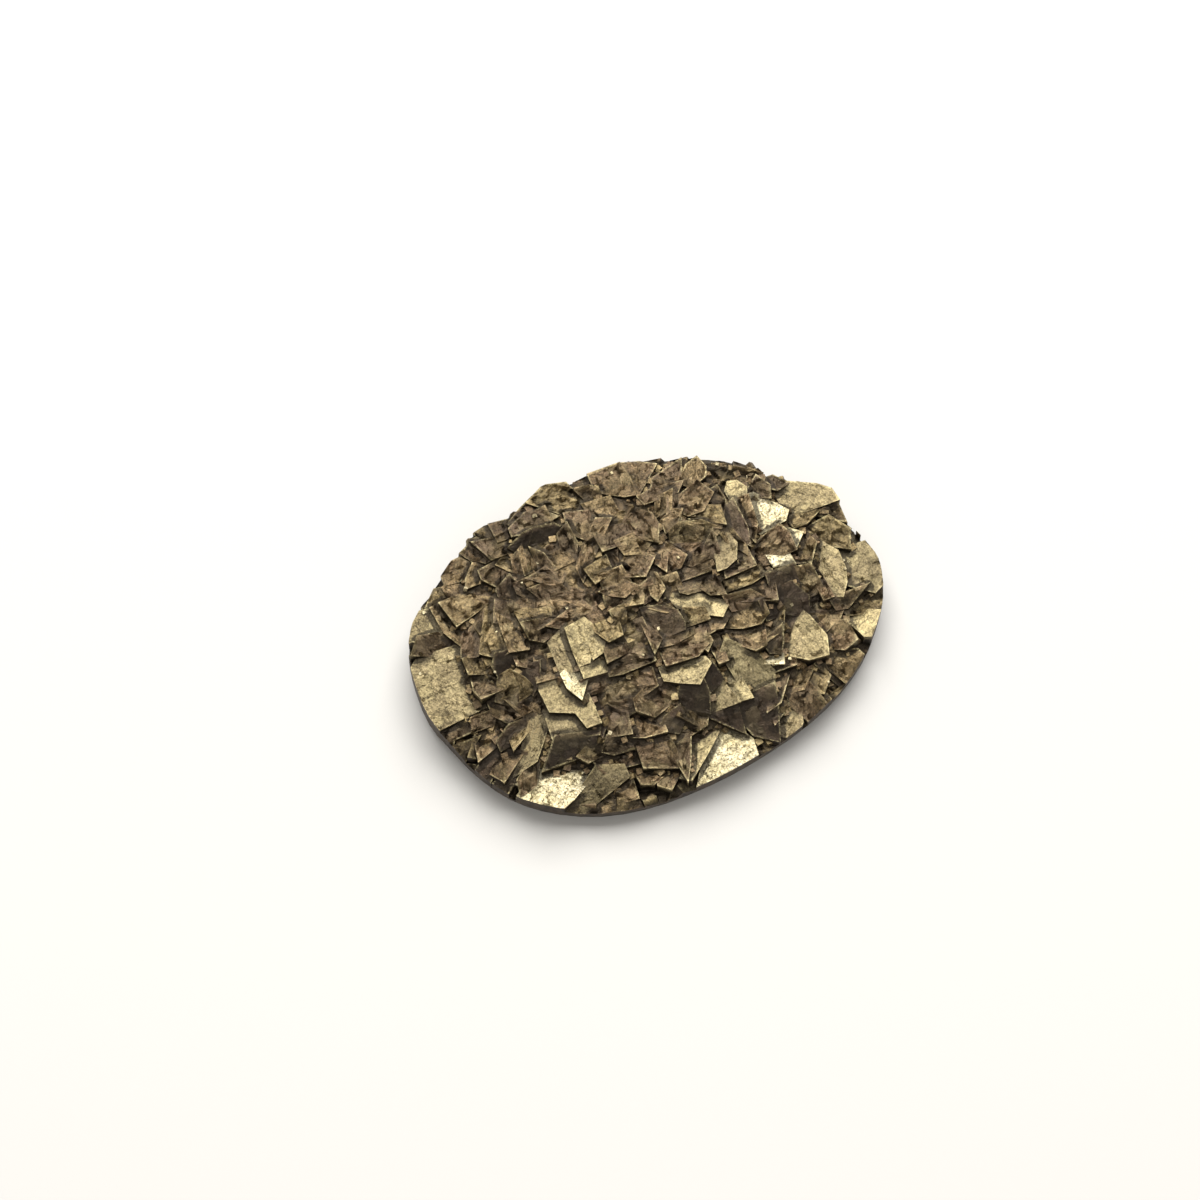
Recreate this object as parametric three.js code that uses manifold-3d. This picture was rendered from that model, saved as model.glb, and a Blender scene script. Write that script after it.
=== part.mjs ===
// A pyrite druse: a crust of intergrown pyrite crystals on its own massive pyrite, sawn flat
// at the back and ground to an oval round its rim. It lies on the sawn back, +Z up.
// Lengths are millimetres and angles are degrees. The long axis of the oval lies along X.
import * as THREE from 'three';
import { ConvexGeometry } from 'three/addons/geometries/ConvexGeometry.js';
import { mergeVertices } from 'three/addons/utils/BufferGeometryUtils.js';
import Module from 'manifold-3d';

const wasm = await Module();
wasm.setup();

// Driving dimensions
const WALL_TOP = 1.2;          // height at which the ground rim is widest
const UNDERCUT = 0.3;          // how far the sawn back stays inside the widest line
const RIM_STEPS = 90;          // straight pieces round the rim
// Half axes and height of the massive pyrite, and its thickness out to the rim
const MASSIF = { a: 16.9, b: 11.8, rise: 4.7, slab: 1.25 };
const LEAN = 0.1;              // the far side of the crust is thicker by this much per millimetre
const ROOT = 0.5;              // every crystal grows up from this height
const RELIEF = 0.3;            // share of each face's rise that stands clear of the massif
const TILT = 0.75;             // share of each face's slope that it is built with
const SPREAD = 0.25;           // each crystal grows this far past its free face, into its neighbours
const BLUNT = 0.35;            // the smaller, the further a sharp corner may run out as it grows
const BLANK_DEPTH = 10;        // the oval is ground this high, above the tallest crystal
// The rim as a plain oval: half axes, the share of them past which a crystal was ground through,
// how far such a crystal once ran on, the steepest outward rise of one that did, and the Y past
// which the crystals of the far side stop at their own edges
const GROUND = { a: 15.6, b: 11.3, from: 0.9, on: 1.07, steepest: 0.05, far: 4 };
const READING_LEVEL = 5;       // crystal corners below are read on a level plane at this height,
const SIGHT = { x: -0.150, y: -0.384 };   // along a slant that moves this much per mm of height
const COLOR = '#6f6145';

// The rim seen from above, from the right-hand end clockwise. The far side has small chips.
const RIM = [
  [15.5, 0.4], [15.9, -1.0], [15.8, -2.0], [15.15, -3.85], [14.3, -5.1], [12.35, -7.2],
  [9.8, -8.9], [6.85, -10.1], [3.0, -11.0], [-0.3, -11.4], [-4.0, -11.4], [-7.3, -10.75],
  [-10.2, -9.35], [-12.3, -7.6], [-13.75, -5.45], [-14.65, -3.2], [-15.35, -1.1], [-15.4, 1.5],
  [-15.1, 3.4], [-14.4, 4.9], [-13.3, 6.3], [-12.0, 7.1], [-10.1, 8.6], [-7.7, 10.0],
  [-6.3, 9.95], [-5.4, 10.1], [-4.0, 10.75], [-2.6, 11.15], [-0.4, 10.85], [2.0, 11.1],
  [5.8, 10.1], [8.6, 9.1], [10.4, 7.6], [11.4, 6.5], [12.9, 5.4], [14.5, 4.35],
  [14.95, 3.3], [15.0, 1.9],
];

// Turns a closed surface into a solid that can be joined and cut
function solidFrom(surface) {
  const bare = surface.clone();
  bare.deleteAttribute('normal');
  bare.deleteAttribute('uv');
  const merged = mergeVertices(bare, 1e-4);
  return new wasm.Manifold(new wasm.Mesh({
    numProp: 3,
    vertProperties: new Float32Array(merged.attributes.position.array),
    triVerts: new Uint32Array(merged.index.array),
  }));
}

// Height of the massive pyrite under the crust
function massifHeight(x, y) {
  const inside = 1 - (x / MASSIF.a) ** 2 - (y / MASSIF.b) ** 2;
  return Math.max(MASSIF.rise * Math.sqrt(Math.max(inside, 0)) + LEAN * y, MASSIF.slab);
}

// The massive pyrite: a low dome, leaned a little towards the near side, on a thin slab that
// reaches past the rim
function massif() {
  const dome = new THREE.SphereGeometry(1, 28, 14);
  dome.rotateX(Math.PI / 2);
  dome.scale(MASSIF.a, MASSIF.b, MASSIF.rise);
  const spots = dome.attributes.position;
  for (let i = 0; i < spots.count; i += 1) {
    spots.setZ(i, spots.getZ(i) + LEAN * spots.getY(i));
  }
  const slab = new THREE.BoxGeometry(2 * MASSIF.a, 2 * MASSIF.b, MASSIF.slab);
  slab.translate(0, 0, MASSIF.slab / 2);
  return solidFrom(dome).add(solidFrom(slab));
}

function rimLoop() {
  return new THREE.CatmullRomCurve3(RIM.map(([x, y]) => new THREE.Vector3(x, y, 0)), true);
}

// The oval that the stone is ground to, a little narrower at the sawn back
function ovalBlank() {
  const edge = rimLoop().getPoints(RIM_STEPS).slice(0, RIM_STEPS).map((p) => new THREE.Vector2(p.x, p.y));
  const blank = new THREE.ExtrudeGeometry(new THREE.Shape(edge), {
    depth: BLANK_DEPTH,
    bevelEnabled: true,
    bevelThickness: WALL_TOP,
    bevelSize: UNDERCUT,
    bevelOffset: -UNDERCUT,
    bevelSegments: 1,
  });
  blank.translate(0, 0, WALL_TOP);
  return solidFrom(blank);
}

// The plane of a crystal face: it faces the azimuth `towards` and falls that way at `slope`
function facePlane(rise, towards, slope, corners) {
  const steep = Math.tan(THREE.MathUtils.degToRad(TILT * slope));
  const way = THREE.MathUtils.degToRad(towards);
  const gx = -steep * Math.cos(way);
  const gy = -steep * Math.sin(way);
  const rx = corners.reduce((sum, c) => sum + c[0], 0) / corners.length;
  const ry = corners.reduce((sum, c) => sum + c[1], 0) / corners.length;
  let z = massifHeight(rx, ry) + RELIEF * rise;
  const cx = rx + SIGHT.x * (z - READING_LEVEL);
  const cy = ry + SIGHT.y * (z - READING_LEVEL);
  z = massifHeight(cx, cy) + RELIEF * rise;
  return { gx, gy, cx, cy, z };
}

function heightOn(plane, [x, y]) {
  return plane.z + plane.gx * (x - plane.cx) + plane.gy * (y - plane.cy);
}

// Slides a corner along the line of sight from the reading level onto a face plane
function ontoPlane([x, y], plane) {
  const gap = plane.z - READING_LEVEL + plane.gx * (x - plane.cx) + plane.gy * (y - plane.cy);
  const climb = gap / (1 - plane.gx * SIGHT.x - plane.gy * SIGHT.y);
  return new THREE.Vector3(x + SIGHT.x * climb, y + SIGHT.y * climb, READING_LEVEL + climb);
}

// Moves every side of a face outwards by SPREAD, which keeps its corners as sharp as they were
function spread(corners) {
  const turn = Math.sign(THREE.ShapeUtils.area(corners.map(([x, y]) => new THREE.Vector2(x, y))));
  return corners.map(([x, y], i) => {
    const [ax, ay] = corners.at(i - 1);
    const [bx, by] = corners[(i + 1) % corners.length];
    const before = new THREE.Vector2(y - ay, ax - x).normalize().multiplyScalar(turn);
    const after = new THREE.Vector2(by - y, x - bx).normalize().multiplyScalar(turn);
    const reach = SPREAD / Math.max(1 + before.dot(after), BLUNT);
    return [x + reach * (before.x + after.x), y + reach * (before.y + after.y)];
  });
}

// Carries a corner near the rim on past it, along its own face, unless the face rises outwards or
// lies on the far side
function runOn(p, plane) {
  const outward = (plane.gx * p.x + plane.gy * p.y) / Math.hypot(p.x, p.y);
  const inner = Math.hypot(p.x / GROUND.a, p.y / GROUND.b) < GROUND.from;
  if (inner || outward > GROUND.steepest || p.y > GROUND.far) {
    return p;
  }
  const [x, y] = [GROUND.on * p.x, GROUND.on * p.y];
  return new THREE.Vector3(x, y, heightOn(plane, [x, y]));
}

// A crystal: a flat top of the given corners on upright sides, rooted in the massif
function crystal(plane, corners) {
  const top = spread(corners).map((corner) => runOn(ontoPlane(corner, plane), plane));
  const foot = top.map((p) => new THREE.Vector3(p.x, p.y, ROOT));
  return solidFrom(new ConvexGeometry([...top, ...foot]));
}

// Each face of the crust: its rise above the massif, the azimuth it faces, its slope, and
// the corners of its flat pieces, which share one plane
const FACES = [
  // The broad olive face at the left-hand end and the faces round it
  [0.9, 215, 9, [[-15.9, 0.2], [-15.0, 0.6], [-13.8, 1.9], [-12.4, 1.9], [-11.9, 1.2], [-12.2, -2.4],
    [-14.6, -2.6], [-15.8, -2.0]]],
  [0.75, 120, 20, [[-14.8, 2.3], [-14.0, 2.0], [-13.9, 1.1], [-14.8, 1.0]]],
  [0.5, 170, 35, [[-15.6, 1.9], [-14.9, 2.4], [-14.9, 1.0], [-15.3, 0.6], [-15.7, 1.2]]],
  [0.8, 290, 30, [[-14.9, 2.6], [-14.3, 3.4], [-13.2, 3.2], [-12.6, 2.6], [-12.6, 2.0], [-13.9, 2.15]]],
  [0.7, 150, 18, [[-14.6, 4.0], [-13.6, 5.0], [-12.95, 4.9], [-12.8, 3.4], [-13.3, 3.2], [-14.4, 3.5]]],
  [1.2, 20, 20, [[-12.7, 5.0], [-12.1, 5.1], [-11.6, 3.6], [-12.0, 2.3], [-12.5, 3.3]]],
  [1.1, 80, 15, [[-12.0, 5.1], [-9.2, 5.2], [-9.0, 4.5], [-10.2, 4.0], [-11.6, 3.6]]],
  [0.6, 130, 22, [[-12.9, 5.35], [-12.2, 6.1], [-11.5, 6.0], [-11.5, 5.3], [-12.6, 5.2]]],
  [0.8, 95, 15, [[-11.5, 6.1], [-10.9, 6.3], [-10.65, 5.7], [-11.0, 5.4], [-11.4, 5.5]]],
  [0.7, 110, 12, [[-11.3, 6.9], [-10.9, 7.5], [-10.0, 7.6], [-9.7, 7.2], [-9.9, 6.7], [-10.6, 6.4],
    [-11.3, 6.5]]],
  [1.0, 40, 14, [[-9.9, 6.1], [-9.2, 6.9], [-8.9, 6.8], [-9.0, 6.4], [-9.6, 5.8], [-10.0, 5.8]]],
  [0.5, 60, 14, [[-9.5, 8.0], [-9.1, 8.2], [-8.9, 7.6], [-9.2, 7.5]]],
  [0.9, 150, 25, [[-8.9, 8.6], [-8.5, 8.5], [-7.9, 7.1], [-8.4, 7.0], [-9.1, 7.5]]],
  [1.1, 80, 14, [[-8.4, 8.2], [-7.5, 7.95], [-6.6, 7.9], [-6.5, 7.1], [-7.9, 7.1]]],
  [0.6, 100, 25, [[-8.3, 9.2], [-7.2, 9.1], [-7.2, 8.2], [-8.0, 8.4]]],
  [0.5, 80, 28, [[-7.1, 9.1], [-6.1, 9.0], [-6.0, 8.1], [-7.0, 8.1]]],

  // Slanting blades and the smooth brown faces under their overhang
  [1.3, 140, 22, [[-12.0, 1.3], [-11.3, 1.1], [-10.9, 1.2], [-9.8, 3.0], [-9.6, 3.9], [-10.2, 3.9],
    [-11.6, 2.4]]],
  [1.9, 130, 15, [[-10.8, 1.1], [-10.1, 0.6], [-9.1, 0.6], [-8.95, 3.3], [-9.5, 3.5], [-9.9, 2.3],
    [-10.6, 1.5]]],
  [1.8, 30, 18, [[-8.9, 3.2], [-8.2, 2.9], [-7.9, 1.0], [-8.1, 0.4], [-9.0, 0.6]]],
  [0.9, 300, 45, [[-10.4, -0.1], [-10.0, 0.5], [-8.8, 0.3], [-9.0, -0.5], [-9.8, -0.8], [-10.3, -0.9]]],
  [0.9, 60, 12, [[-9.8, -0.8], [-8.6, -0.6], [-8.3, -0.9], [-9.2, -1.7], [-9.6, -1.1]]],
  [1.2, 350, 20, [[-8.9, 0.1], [-7.7, 0.0], [-7.5, -0.5], [-8.3, -0.9], [-8.9, -0.5]]],
  [1.0, 250, 25, [[-10.3, -1.0], [-9.7, -0.9], [-9.1, -1.7], [-8.8, -2.5], [-10.4, -2.9], [-11.0, -2.4],
    [-10.4, -1.6]]],
  [1.1, 190, 30, [[-9.1, -1.7], [-8.3, -1.0], [-7.9, -1.0], [-8.3, -2.0], [-8.8, -2.5]]],
  [1.3, 100, 14, [[-7.7, -0.5], [-7.2, -1.6], [-7.0, -2.1], [-8.1, -2.0], [-8.0, -1.2]]],
  [0.9, 60, 22, [[-11.9, -1.7], [-10.6, -1.6], [-10.4, -0.9], [-10.7, -0.2], [-11.9, 0.0], [-12.1, -1.2]]],
  [0.95, 20, 18, [[-12.0, 0.9], [-11.2, 0.9], [-10.8, 0.0], [-11.2, -0.2], [-12.0, 0.1]]],
  [0.8, 230, 22, [[-11.6, -2.0], [-10.5, -2.6], [-9.7, -3.7], [-11.0, -3.9], [-11.6, -3.2]]],
  [1.0, 280, 28, [[-10.4, -2.6], [-9.4, -2.2], [-9.0, -3.1], [-9.3, -3.5], [-9.9, -3.8]]],

  // The stepped olive block, its lower ledge, its dark front and its right-hand side
  [2.0, 210, 9, [[-8.1, -2.0], [-7.2, -2.2], [-6.3, -3.4], [-5.8, -3.6], [-5.7, -4.9], [-6.5, -4.9],
    [-8.1, -4.2], [-8.2, -2.8]], [[-5.8, -3.6], [-5.7, -6.0], [-6.3, -6.0], [-6.6, -4.9], [-6.5, -4.0]]],
  [1.5, 210, 9, [[-8.5, -4.4], [-6.5, -4.8], [-6.2, -6.1], [-5.8, -6.3], [-6.0, -6.7], [-7.0, -6.4],
    [-8.6, -6.1]]],
  [0.9, 255, 42, [[-9.8, -7.8], [-8.5, -6.2], [-6.2, -6.8], [-6.6, -7.4], [-7.6, -7.8]]],
  [1.4, 335, 34, [[-5.7, -3.6], [-5.0, -3.8], [-4.9, -5.0], [-5.1, -6.0], [-5.7, -6.9], [-5.75, -6.0]]],
  [0.8, 275, 30, [[-7.5, -7.9], [-6.4, -7.3], [-5.5, -7.4], [-5.9, -8.2], [-7.2, -8.3]]],

  // Bright cube face and the pitted and yellow striped faces above the stepped block
  [2.2, 60, 4, [[-6.5, -2.3], [-5.9, -2.0], [-5.45, -1.8], [-5.35, -2.95], [-6.05, -3.9], [-6.45, -3.15]]],
  [2.3, 200, 12, [[-6.5, 0.0], [-5.2, 0.7], [-5.0, 0.3], [-5.3, -1.7], [-6.0, -2.1], [-6.5, -1.9]]],
  [1.9, 330, 16, [[-5.1, 0.5], [-4.0, 0.7], [-3.4, -0.4], [-3.4, -1.4], [-3.6, -2.3], [-4.0, -2.9],
    [-5.2, -2.8], [-5.2, -1.0]]],
  [2.2, 75, 7, [[-4.75, 0.1], [-4.1, 0.6], [-3.95, -0.3], [-4.3, -1.2], [-4.8, -1.9], [-5.1, -1.9]]],
  [2.0, 75, 7, [[-3.8, -0.4], [-3.5, -0.4], [-3.4, -1.0], [-3.8, -1.6], [-4.15, -1.7], [-4.1, -0.9]]],
  [1.2, 290, 30, [[-5.5, -3.2], [-4.0, -3.1], [-3.9, -3.8], [-4.6, -4.1], [-5.4, -4.0]]],
  [1.5, 220, 18, [[-4.9, -4.0], [-4.4, -4.2], [-4.5, -4.9], [-5.0, -5.0]]],

  // Wedges and small blocks left of the middle
  [1.9, 190, 13, [[-7.65, 3.1], [-7.1, 3.8], [-6.9, 3.7], [-6.3, 3.3], [-6.4, 2.9], [-7.6, 2.8]]],
  [1.6, 100, 15, [[-7.7, 2.7], [-6.3, 2.8], [-5.9, 2.2], [-6.1, 1.5], [-7.0, 1.4], [-7.6, 1.9]]],
  [1.3, 300, 22, [[-7.6, 1.7], [-7.1, 1.3], [-5.9, 1.5], [-5.3, 1.3], [-6.2, 0.7], [-6.9, 0.5],
    [-7.5, 0.9]]],
  [1.2, 255, 28, [[-6.2, 3.9], [-5.4, 3.9], [-4.6, 3.5], [-4.3, 2.9], [-4.8, 2.4], [-5.4, 2.8],
    [-5.9, 3.3]]],
  [1.5, 70, 12, [[-6.0, 3.2], [-5.5, 3.1], [-5.4, 2.8], [-6.1, 2.9]]],
  [1.3, 240, 30, [[-8.3, 4.7], [-7.4, 5.2], [-7.0, 4.2], [-7.6, 3.9], [-8.3, 4.3]]],
  [1.2, 265, 24, [[-7.1, 4.6], [-5.8, 4.7], [-4.9, 4.2], [-5.5, 3.9], [-6.8, 3.7], [-7.1, 4.1]]],
  [1.5, 60, 18, [[-5.9, 4.7], [-4.2, 5.1], [-3.9, 4.4], [-4.4, 3.9], [-5.0, 4.0]]],
  [1.7, 180, 12, [[-4.0, 2.7], [-3.3, 3.2], [-3.1, 2.3], [-3.4, 1.9], [-3.9, 2.0]]],
  [1.3, 200, 20, [[-3.9, 2.0], [-3.1, 2.1], [-3.2, 1.3], [-3.6, 1.3]]],
  [2.0, 45, 9, [[-4.1, 1.9], [-3.8, 2.0], [-3.5, 0.9], [-3.4, 0.3], [-3.7, 0.4], [-4.1, 1.2]]],
  [2.0, 60, 4, [[-4.9, 1.85], [-4.4, 2.1], [-4.45, 1.8], [-4.75, 1.65]]],
  [1.0, 300, 28, [[-5.9, 1.2], [-4.6, 1.6], [-4.3, 0.7], [-5.2, 0.7]]],
  [1.8, 100, 14, [[-3.4, 1.2], [-2.2, 1.2], [-2.1, -0.2], [-2.2, -0.9], [-2.9, -1.0], [-3.4, -0.2]]],
  [2.0, 40, 11, [[-3.3, -1.1], [-2.6, -1.1], [-2.5, -2.2], [-3.4, -2.3]]],
  [1.7, 215, 13, [[-2.5, -1.5], [-1.0, -1.6], [-0.9, -3.3], [-3.0, -3.4], [-3.6, -3.3], [-3.4, -2.5],
    [-2.5, -2.2]]],
  [2.2, 75, 9, [[-1.8, -0.8], [-1.0, -0.8], [-0.9, -1.4], [-1.7, -1.5]]],
  [1.1, 270, 35, [[-2.0, 0.6], [-1.1, 0.7], [-0.9, -0.1], [-1.3, -0.6], [-1.9, -0.5]]],
  [1.9, 200, 25, [[-0.8, -0.6], [-0.6, -0.6], [-0.55, -2.6], [-0.85, -2.7]]],
  [1.5, 20, 25, [[-0.45, -0.2], [-0.1, -0.2], [0.0, -2.2], [-0.4, -2.6]]],

  // The middle: dark faces, the bright rod and the wedge at its right
  [1.9, 235, 26, [[-0.1, 0.0], [0.7, -0.2], [1.7, -0.9], [1.8, -1.7], [1.7, -2.0], [0.2, -2.1],
    [-0.1, -1.0]]],
  [1.3, 265, 38, [[-2.0, 1.75], [-1.6, 1.8], [-0.8, 1.35], [-0.9, 1.0], [-2.0, 0.85], [-2.1, 1.2]]],
  [1.9, 90, 15, [[-1.9, 2.1], [-0.6, 2.2], [-0.2, 1.8], [-0.9, 1.5], [-1.6, 1.85]]],
  [2.1, 70, 9, [[-0.9, 1.05], [0.0, 1.35], [0.1, 1.1], [-0.1, 0.7], [-0.9, 0.85]]],
  [1.6, 300, 24, [[0.1, 1.4], [0.9, 1.7], [0.85, 0.75], [0.2, 0.6]]],
  [2.1, 15, 11, [[1.1, 2.2], [1.4, 2.0], [1.5, 1.0], [1.0, 0.6], [0.9, 0.8]]],
  [2.9, 50, 6, [[1.95, 0.0], [2.4, 0.4], [4.9, -1.5], [4.4, -2.0], [3.5, -1.5], [2.1, -0.5]]],
  [2.8, 20, 9, [[3.65, -1.6], [4.6, -1.7], [5.0, -2.0], [4.1, -2.8], [3.65, -2.7]]],
  [1.9, 230, 18, [[2.3, -1.0], [3.4, -1.4], [3.4, -1.9], [2.1, -1.9], [2.0, -1.5]]],
  [1.8, 60, 15, [[0.3, -0.05], [1.2, -0.2], [1.7, -0.7], [1.2, -0.5]]],
  [1.7, 30, 14, [[2.7, 0.9], [3.6, 0.8], [4.1, 0.1], [3.0, 0.2], [2.7, 0.4]]],
  [1.8, 80, 18, [[4.0, 0.9], [4.9, 1.0], [5.0, -0.6], [4.4, -0.4], [4.0, 0.2]]],
  [2.0, 100, 12, [[5.1, -0.3], [5.9, 0.1], [7.8, -0.1], [7.9, -0.4], [7.0, -0.6], [5.2, -0.6]]],
  [2.3, 80, 13, [[4.95, -0.95], [8.4, -0.6], [8.2, -1.6], [8.05, -2.2], [7.2, -1.9], [6.8, -1.3],
    [5.0, -1.2]]],
  [1.9, 262, 30, [[5.2, -1.2], [6.7, -1.35], [7.2, -1.95], [7.0, -2.2], [5.3, -2.0]]],
  [1.6, 200, 14, [[5.0, -2.0], [7.1, -2.3], [7.1, -3.0], [6.5, -3.4], [5.4, -3.3], [4.2, -2.8]]],
  [1.3, 330, 48, [[7.2, -2.3], [8.0, -2.2], [7.85, -3.4], [7.2, -3.4]]],
  [1.3, 310, 38, [[8.3, -0.7], [10.0, -0.7], [10.4, -2.0], [9.0, -1.8], [8.2, -1.9]]],
  [0.9, 290, 36, [[8.2, -2.0], [9.4, -1.8], [10.0, -3.0], [9.6, -4.0], [8.9, -3.2], [8.2, -3.2]]],
  [1.2, 60, 4, [[8.8, -3.0], [9.0, -2.9], [9.1, -3.1], [8.9, -3.2]]],
  [1.0, 280, 32, [[10.3, -1.0], [11.0, -1.1], [11.1, -2.8], [10.3, -2.9]]],
  [1.4, 20, 20, [[11.05, -0.9], [11.3, -0.9], [11.5, -3.4], [11.2, -3.4]]],

  // Below the middle: a pointed crystal, thin rods and the broad dark face
  [2.4, 190, 10, [[-0.5, -4.3], [1.1, -4.2], [2.2, -4.6], [2.3, -4.9], [1.3, -5.8], [0.2, -5.3],
    [-0.5, -4.9]]],
  [1.9, 95, 14, [[0.0, -3.1], [2.2, -3.0], [2.6, -3.6], [1.9, -4.0], [0.0, -3.9]]],
  [1.6, 90, 20, [[-0.2, -2.3], [1.2, -2.2], [2.3, -2.1], [2.2, -2.5], [0.8, -2.7], [0.0, -2.6]]],
  [1.9, 40, 12, [[2.5, -2.7], [2.9, -2.6], [3.0, -3.5], [2.7, -3.8], [2.4, -3.2]]],
  [2.0, 60, 9, [[3.0, -2.15], [3.5, -2.15], [3.5, -2.8], [3.0, -2.9]]],
  [2.1, 20, 16, [[3.1, -3.2], [3.5, -3.2], [3.45, -5.0], [3.2, -5.0], [3.1, -4.0]]],
  [2.0, 282, 27, [[3.55, -4.6], [4.05, -4.0], [5.4, -5.5], [5.95, -7.0], [5.6, -7.9], [4.0, -7.9],
    [3.8, -6.0]]],
  [1.1, 262, 33, [[3.1, -8.15], [4.0, -8.05], [5.6, -7.95], [5.3, -9.2], [4.3, -10.7], [3.4, -10.5],
    [3.1, -9.5]]],
  [2.3, 190, 8, [[2.7, -5.8], [3.6, -5.6], [3.8, -6.7], [3.95, -7.95], [3.1, -7.9], [2.9, -7.0]]],
  [1.7, 215, 20, [[1.2, -8.0], [1.9, -6.7], [2.6, -6.5], [2.8, -7.3], [3.0, -7.95]]],
  [1.2, 240, 42, [[-0.1, -6.5], [0.3, -5.8], [1.5, -5.9], [1.5, -6.8], [1.1, -7.9], [0.2, -7.3]]],
  [1.6, 300, 40, [[1.5, -5.8], [2.5, -5.2], [2.7, -6.2], [1.9, -6.6]]],
  [1.1, 250, 22, [[-1.0, -8.6], [-0.3, -6.9], [0.3, -7.2], [1.0, -8.0], [0.6, -8.7], [-0.6, -9.0]]],
  [0.8, 260, 36, [[1.3, -8.4], [2.9, -8.2], [2.7, -9.9], [2.0, -9.1]]],
  [1.9, 60, 8, [[4.4, -4.4], [4.8, -4.4], [5.6, -5.5], [6.9, -6.2], [6.8, -6.5], [5.5, -6.0]]],
  [1.7, 65, 5, [[5.9, -6.6], [6.4, -6.3], [7.1, -6.1], [7.6, -6.4], [7.5, -6.9], [6.3, -6.9]]],
  [1.6, 110, 12, [[4.2, -3.3], [5.2, -3.0], [6.7, -3.3], [6.2, -4.9], [5.6, -5.0], [4.3, -3.9]]],
  [1.3, 90, 15, [[6.5, -3.6], [7.3, -3.5], [8.2, -3.2], [7.6, -4.4], [6.5, -4.7]]],
  [0.8, 270, 32, [[6.4, -5.0], [7.5, -4.5], [7.3, -5.2], [6.9, -5.8], [6.5, -5.6]]],
  [1.7, 180, 11, [[8.1, -3.6], [8.7, -3.4], [9.1, -3.6], [9.5, -4.3], [9.4, -5.2], [10.0, -6.0],
    [9.7, -7.0], [8.6, -6.9], [7.4, -6.1], [7.5, -5.4]]],
  [1.1, 110, 18, [[5.7, -7.9], [6.0, -7.0], [7.2, -7.0], [6.4, -8.0], [5.6, -9.0], [5.0, -9.2]]],
  [0.8, 140, 20, [[6.5, -8.6], [7.3, -7.6], [8.1, -8.0], [7.4, -8.7]]],
  [0.9, 60, 20, [[5.0, -9.3], [5.9, -8.9], [5.5, -9.8], [5.0, -10.1]]],
  [1.3, 190, 10, [[8.1, -7.6], [8.9, -7.6], [9.2, -8.6], [8.6, -9.3], [8.4, -9.0], [8.0, -8.7],
    [7.7, -8.7]]],
  [1.1, 60, 7, [[7.9, -8.9], [8.1, -8.8], [8.15, -9.8], [7.9, -9.9]]],
  [0.6, 320, 40, [[9.0, -7.6], [9.6, -7.1], [9.7, -8.0], [9.3, -8.6]]],
  [0.6, 250, 20, [[6.5, -9.0], [7.8, -8.8], [7.85, -10.0], [6.7, -10.4], [6.4, -9.6]]],
  [0.7, 190, 9, [[4.6, -10.2], [6.3, -9.7], [6.5, -10.3], [6.4, -10.8], [5.4, -11.0], [4.2, -10.7]]],
  [0.3, 280, 14, [[3.0, -11.2], [3.9, -10.9], [6.0, -11.1], [4.5, -11.4], [3.2, -11.6]]],
  [0.4, 300, 15, [[8.3, -9.5], [10.0, -9.0], [10.0, -9.4], [9.3, -9.8], [8.3, -9.8]]],

  // The right-hand end: bright broken faces, the long olive face and the granular rim
  [1.6, 60, 5, [[8.1, 5.8], [8.4, 6.2], [8.8, 6.1], [9.1, 5.6], [8.9, 5.1], [8.2, 5.0]]],
  [1.5, 75, 4, [[9.1, 4.9], [9.5, 4.9], [10.6, 3.6], [11.0, 3.1], [10.7, 2.7], [9.0, 2.4], [8.7, 2.9]]],
  [1.6, 160, 16, [[8.3, 4.9], [9.0, 4.9], [8.8, 3.0], [8.4, 2.2], [8.2, 3.0]]],
  [1.3, 190, 22, [[7.2, 4.5], [8.0, 4.9], [8.1, 3.0], [7.9, 2.1], [7.3, 3.0], [7.1, 3.8]]],
  [1.1, 165, 10, [[11.1, 4.3], [11.8, 4.9], [13.6, 4.0], [14.3, 3.4], [14.4, 2.8], [12.3, 2.8],
    [11.6, 3.0], [11.2, 3.5]]],
  [1.4, 110, 13, [[11.0, 2.9], [12.2, 3.0], [12.8, 2.4], [12.0, 2.0], [11.3, 2.0], [11.1, 2.5]]],
  [1.5, 130, 20, [[9.5, 5.3], [10.2, 5.9], [10.6, 5.2], [10.4, 4.6], [9.7, 4.9]]],
  [0.9, 60, 22, [[10.5, 5.6], [11.2, 5.6], [11.7, 5.0], [11.2, 4.9], [10.6, 5.3]]],
  [0.9, 210, 22, [[12.6, 2.4], [14.3, 2.6], [14.3, 1.4], [13.6, 2.0]]],
  [1.4, 245, 20, [[8.0, 1.0], [8.8, 1.7], [10.2, 2.2], [10.5, 1.6], [10.5, 0.6], [9.9, 0.7], [7.9, 0.3]]],
  [1.7, 65, 4, [[8.9, 0.7], [9.3, 0.95], [9.9, 0.4], [10.0, -0.3], [9.0, -0.1]]],
  [1.5, 65, 4, [[10.6, 1.8], [11.25, 1.3], [10.8, 0.9], [10.7, 0.6]]],
  [1.0, 230, 22, [[12.0, 1.3], [12.8, 1.5], [13.5, 1.6], [14.3, 0.4], [13.9, -0.6], [12.8, 0.0],
    [12.2, 0.4]]],
  [0.8, 65, 4, [[14.3, -0.2], [15.2, -0.2], [15.1, -1.0], [14.6, -0.9]]],
  [1.5, 185, 10, [[11.9, 0.3], [12.1, 0.4], [13.0, -0.8], [13.0, -2.0], [12.7, -2.9], [12.2, -3.6],
    [11.5, -3.3], [11.5, -2.0]]],
  [0.9, 350, 16, [[13.0, -0.9], [14.5, -0.9], [14.8, -1.8], [15.2, -2.3], [14.6, -3.3], [13.5, -3.8],
    [12.8, -3.0], [13.1, -2.0]]],
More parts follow.
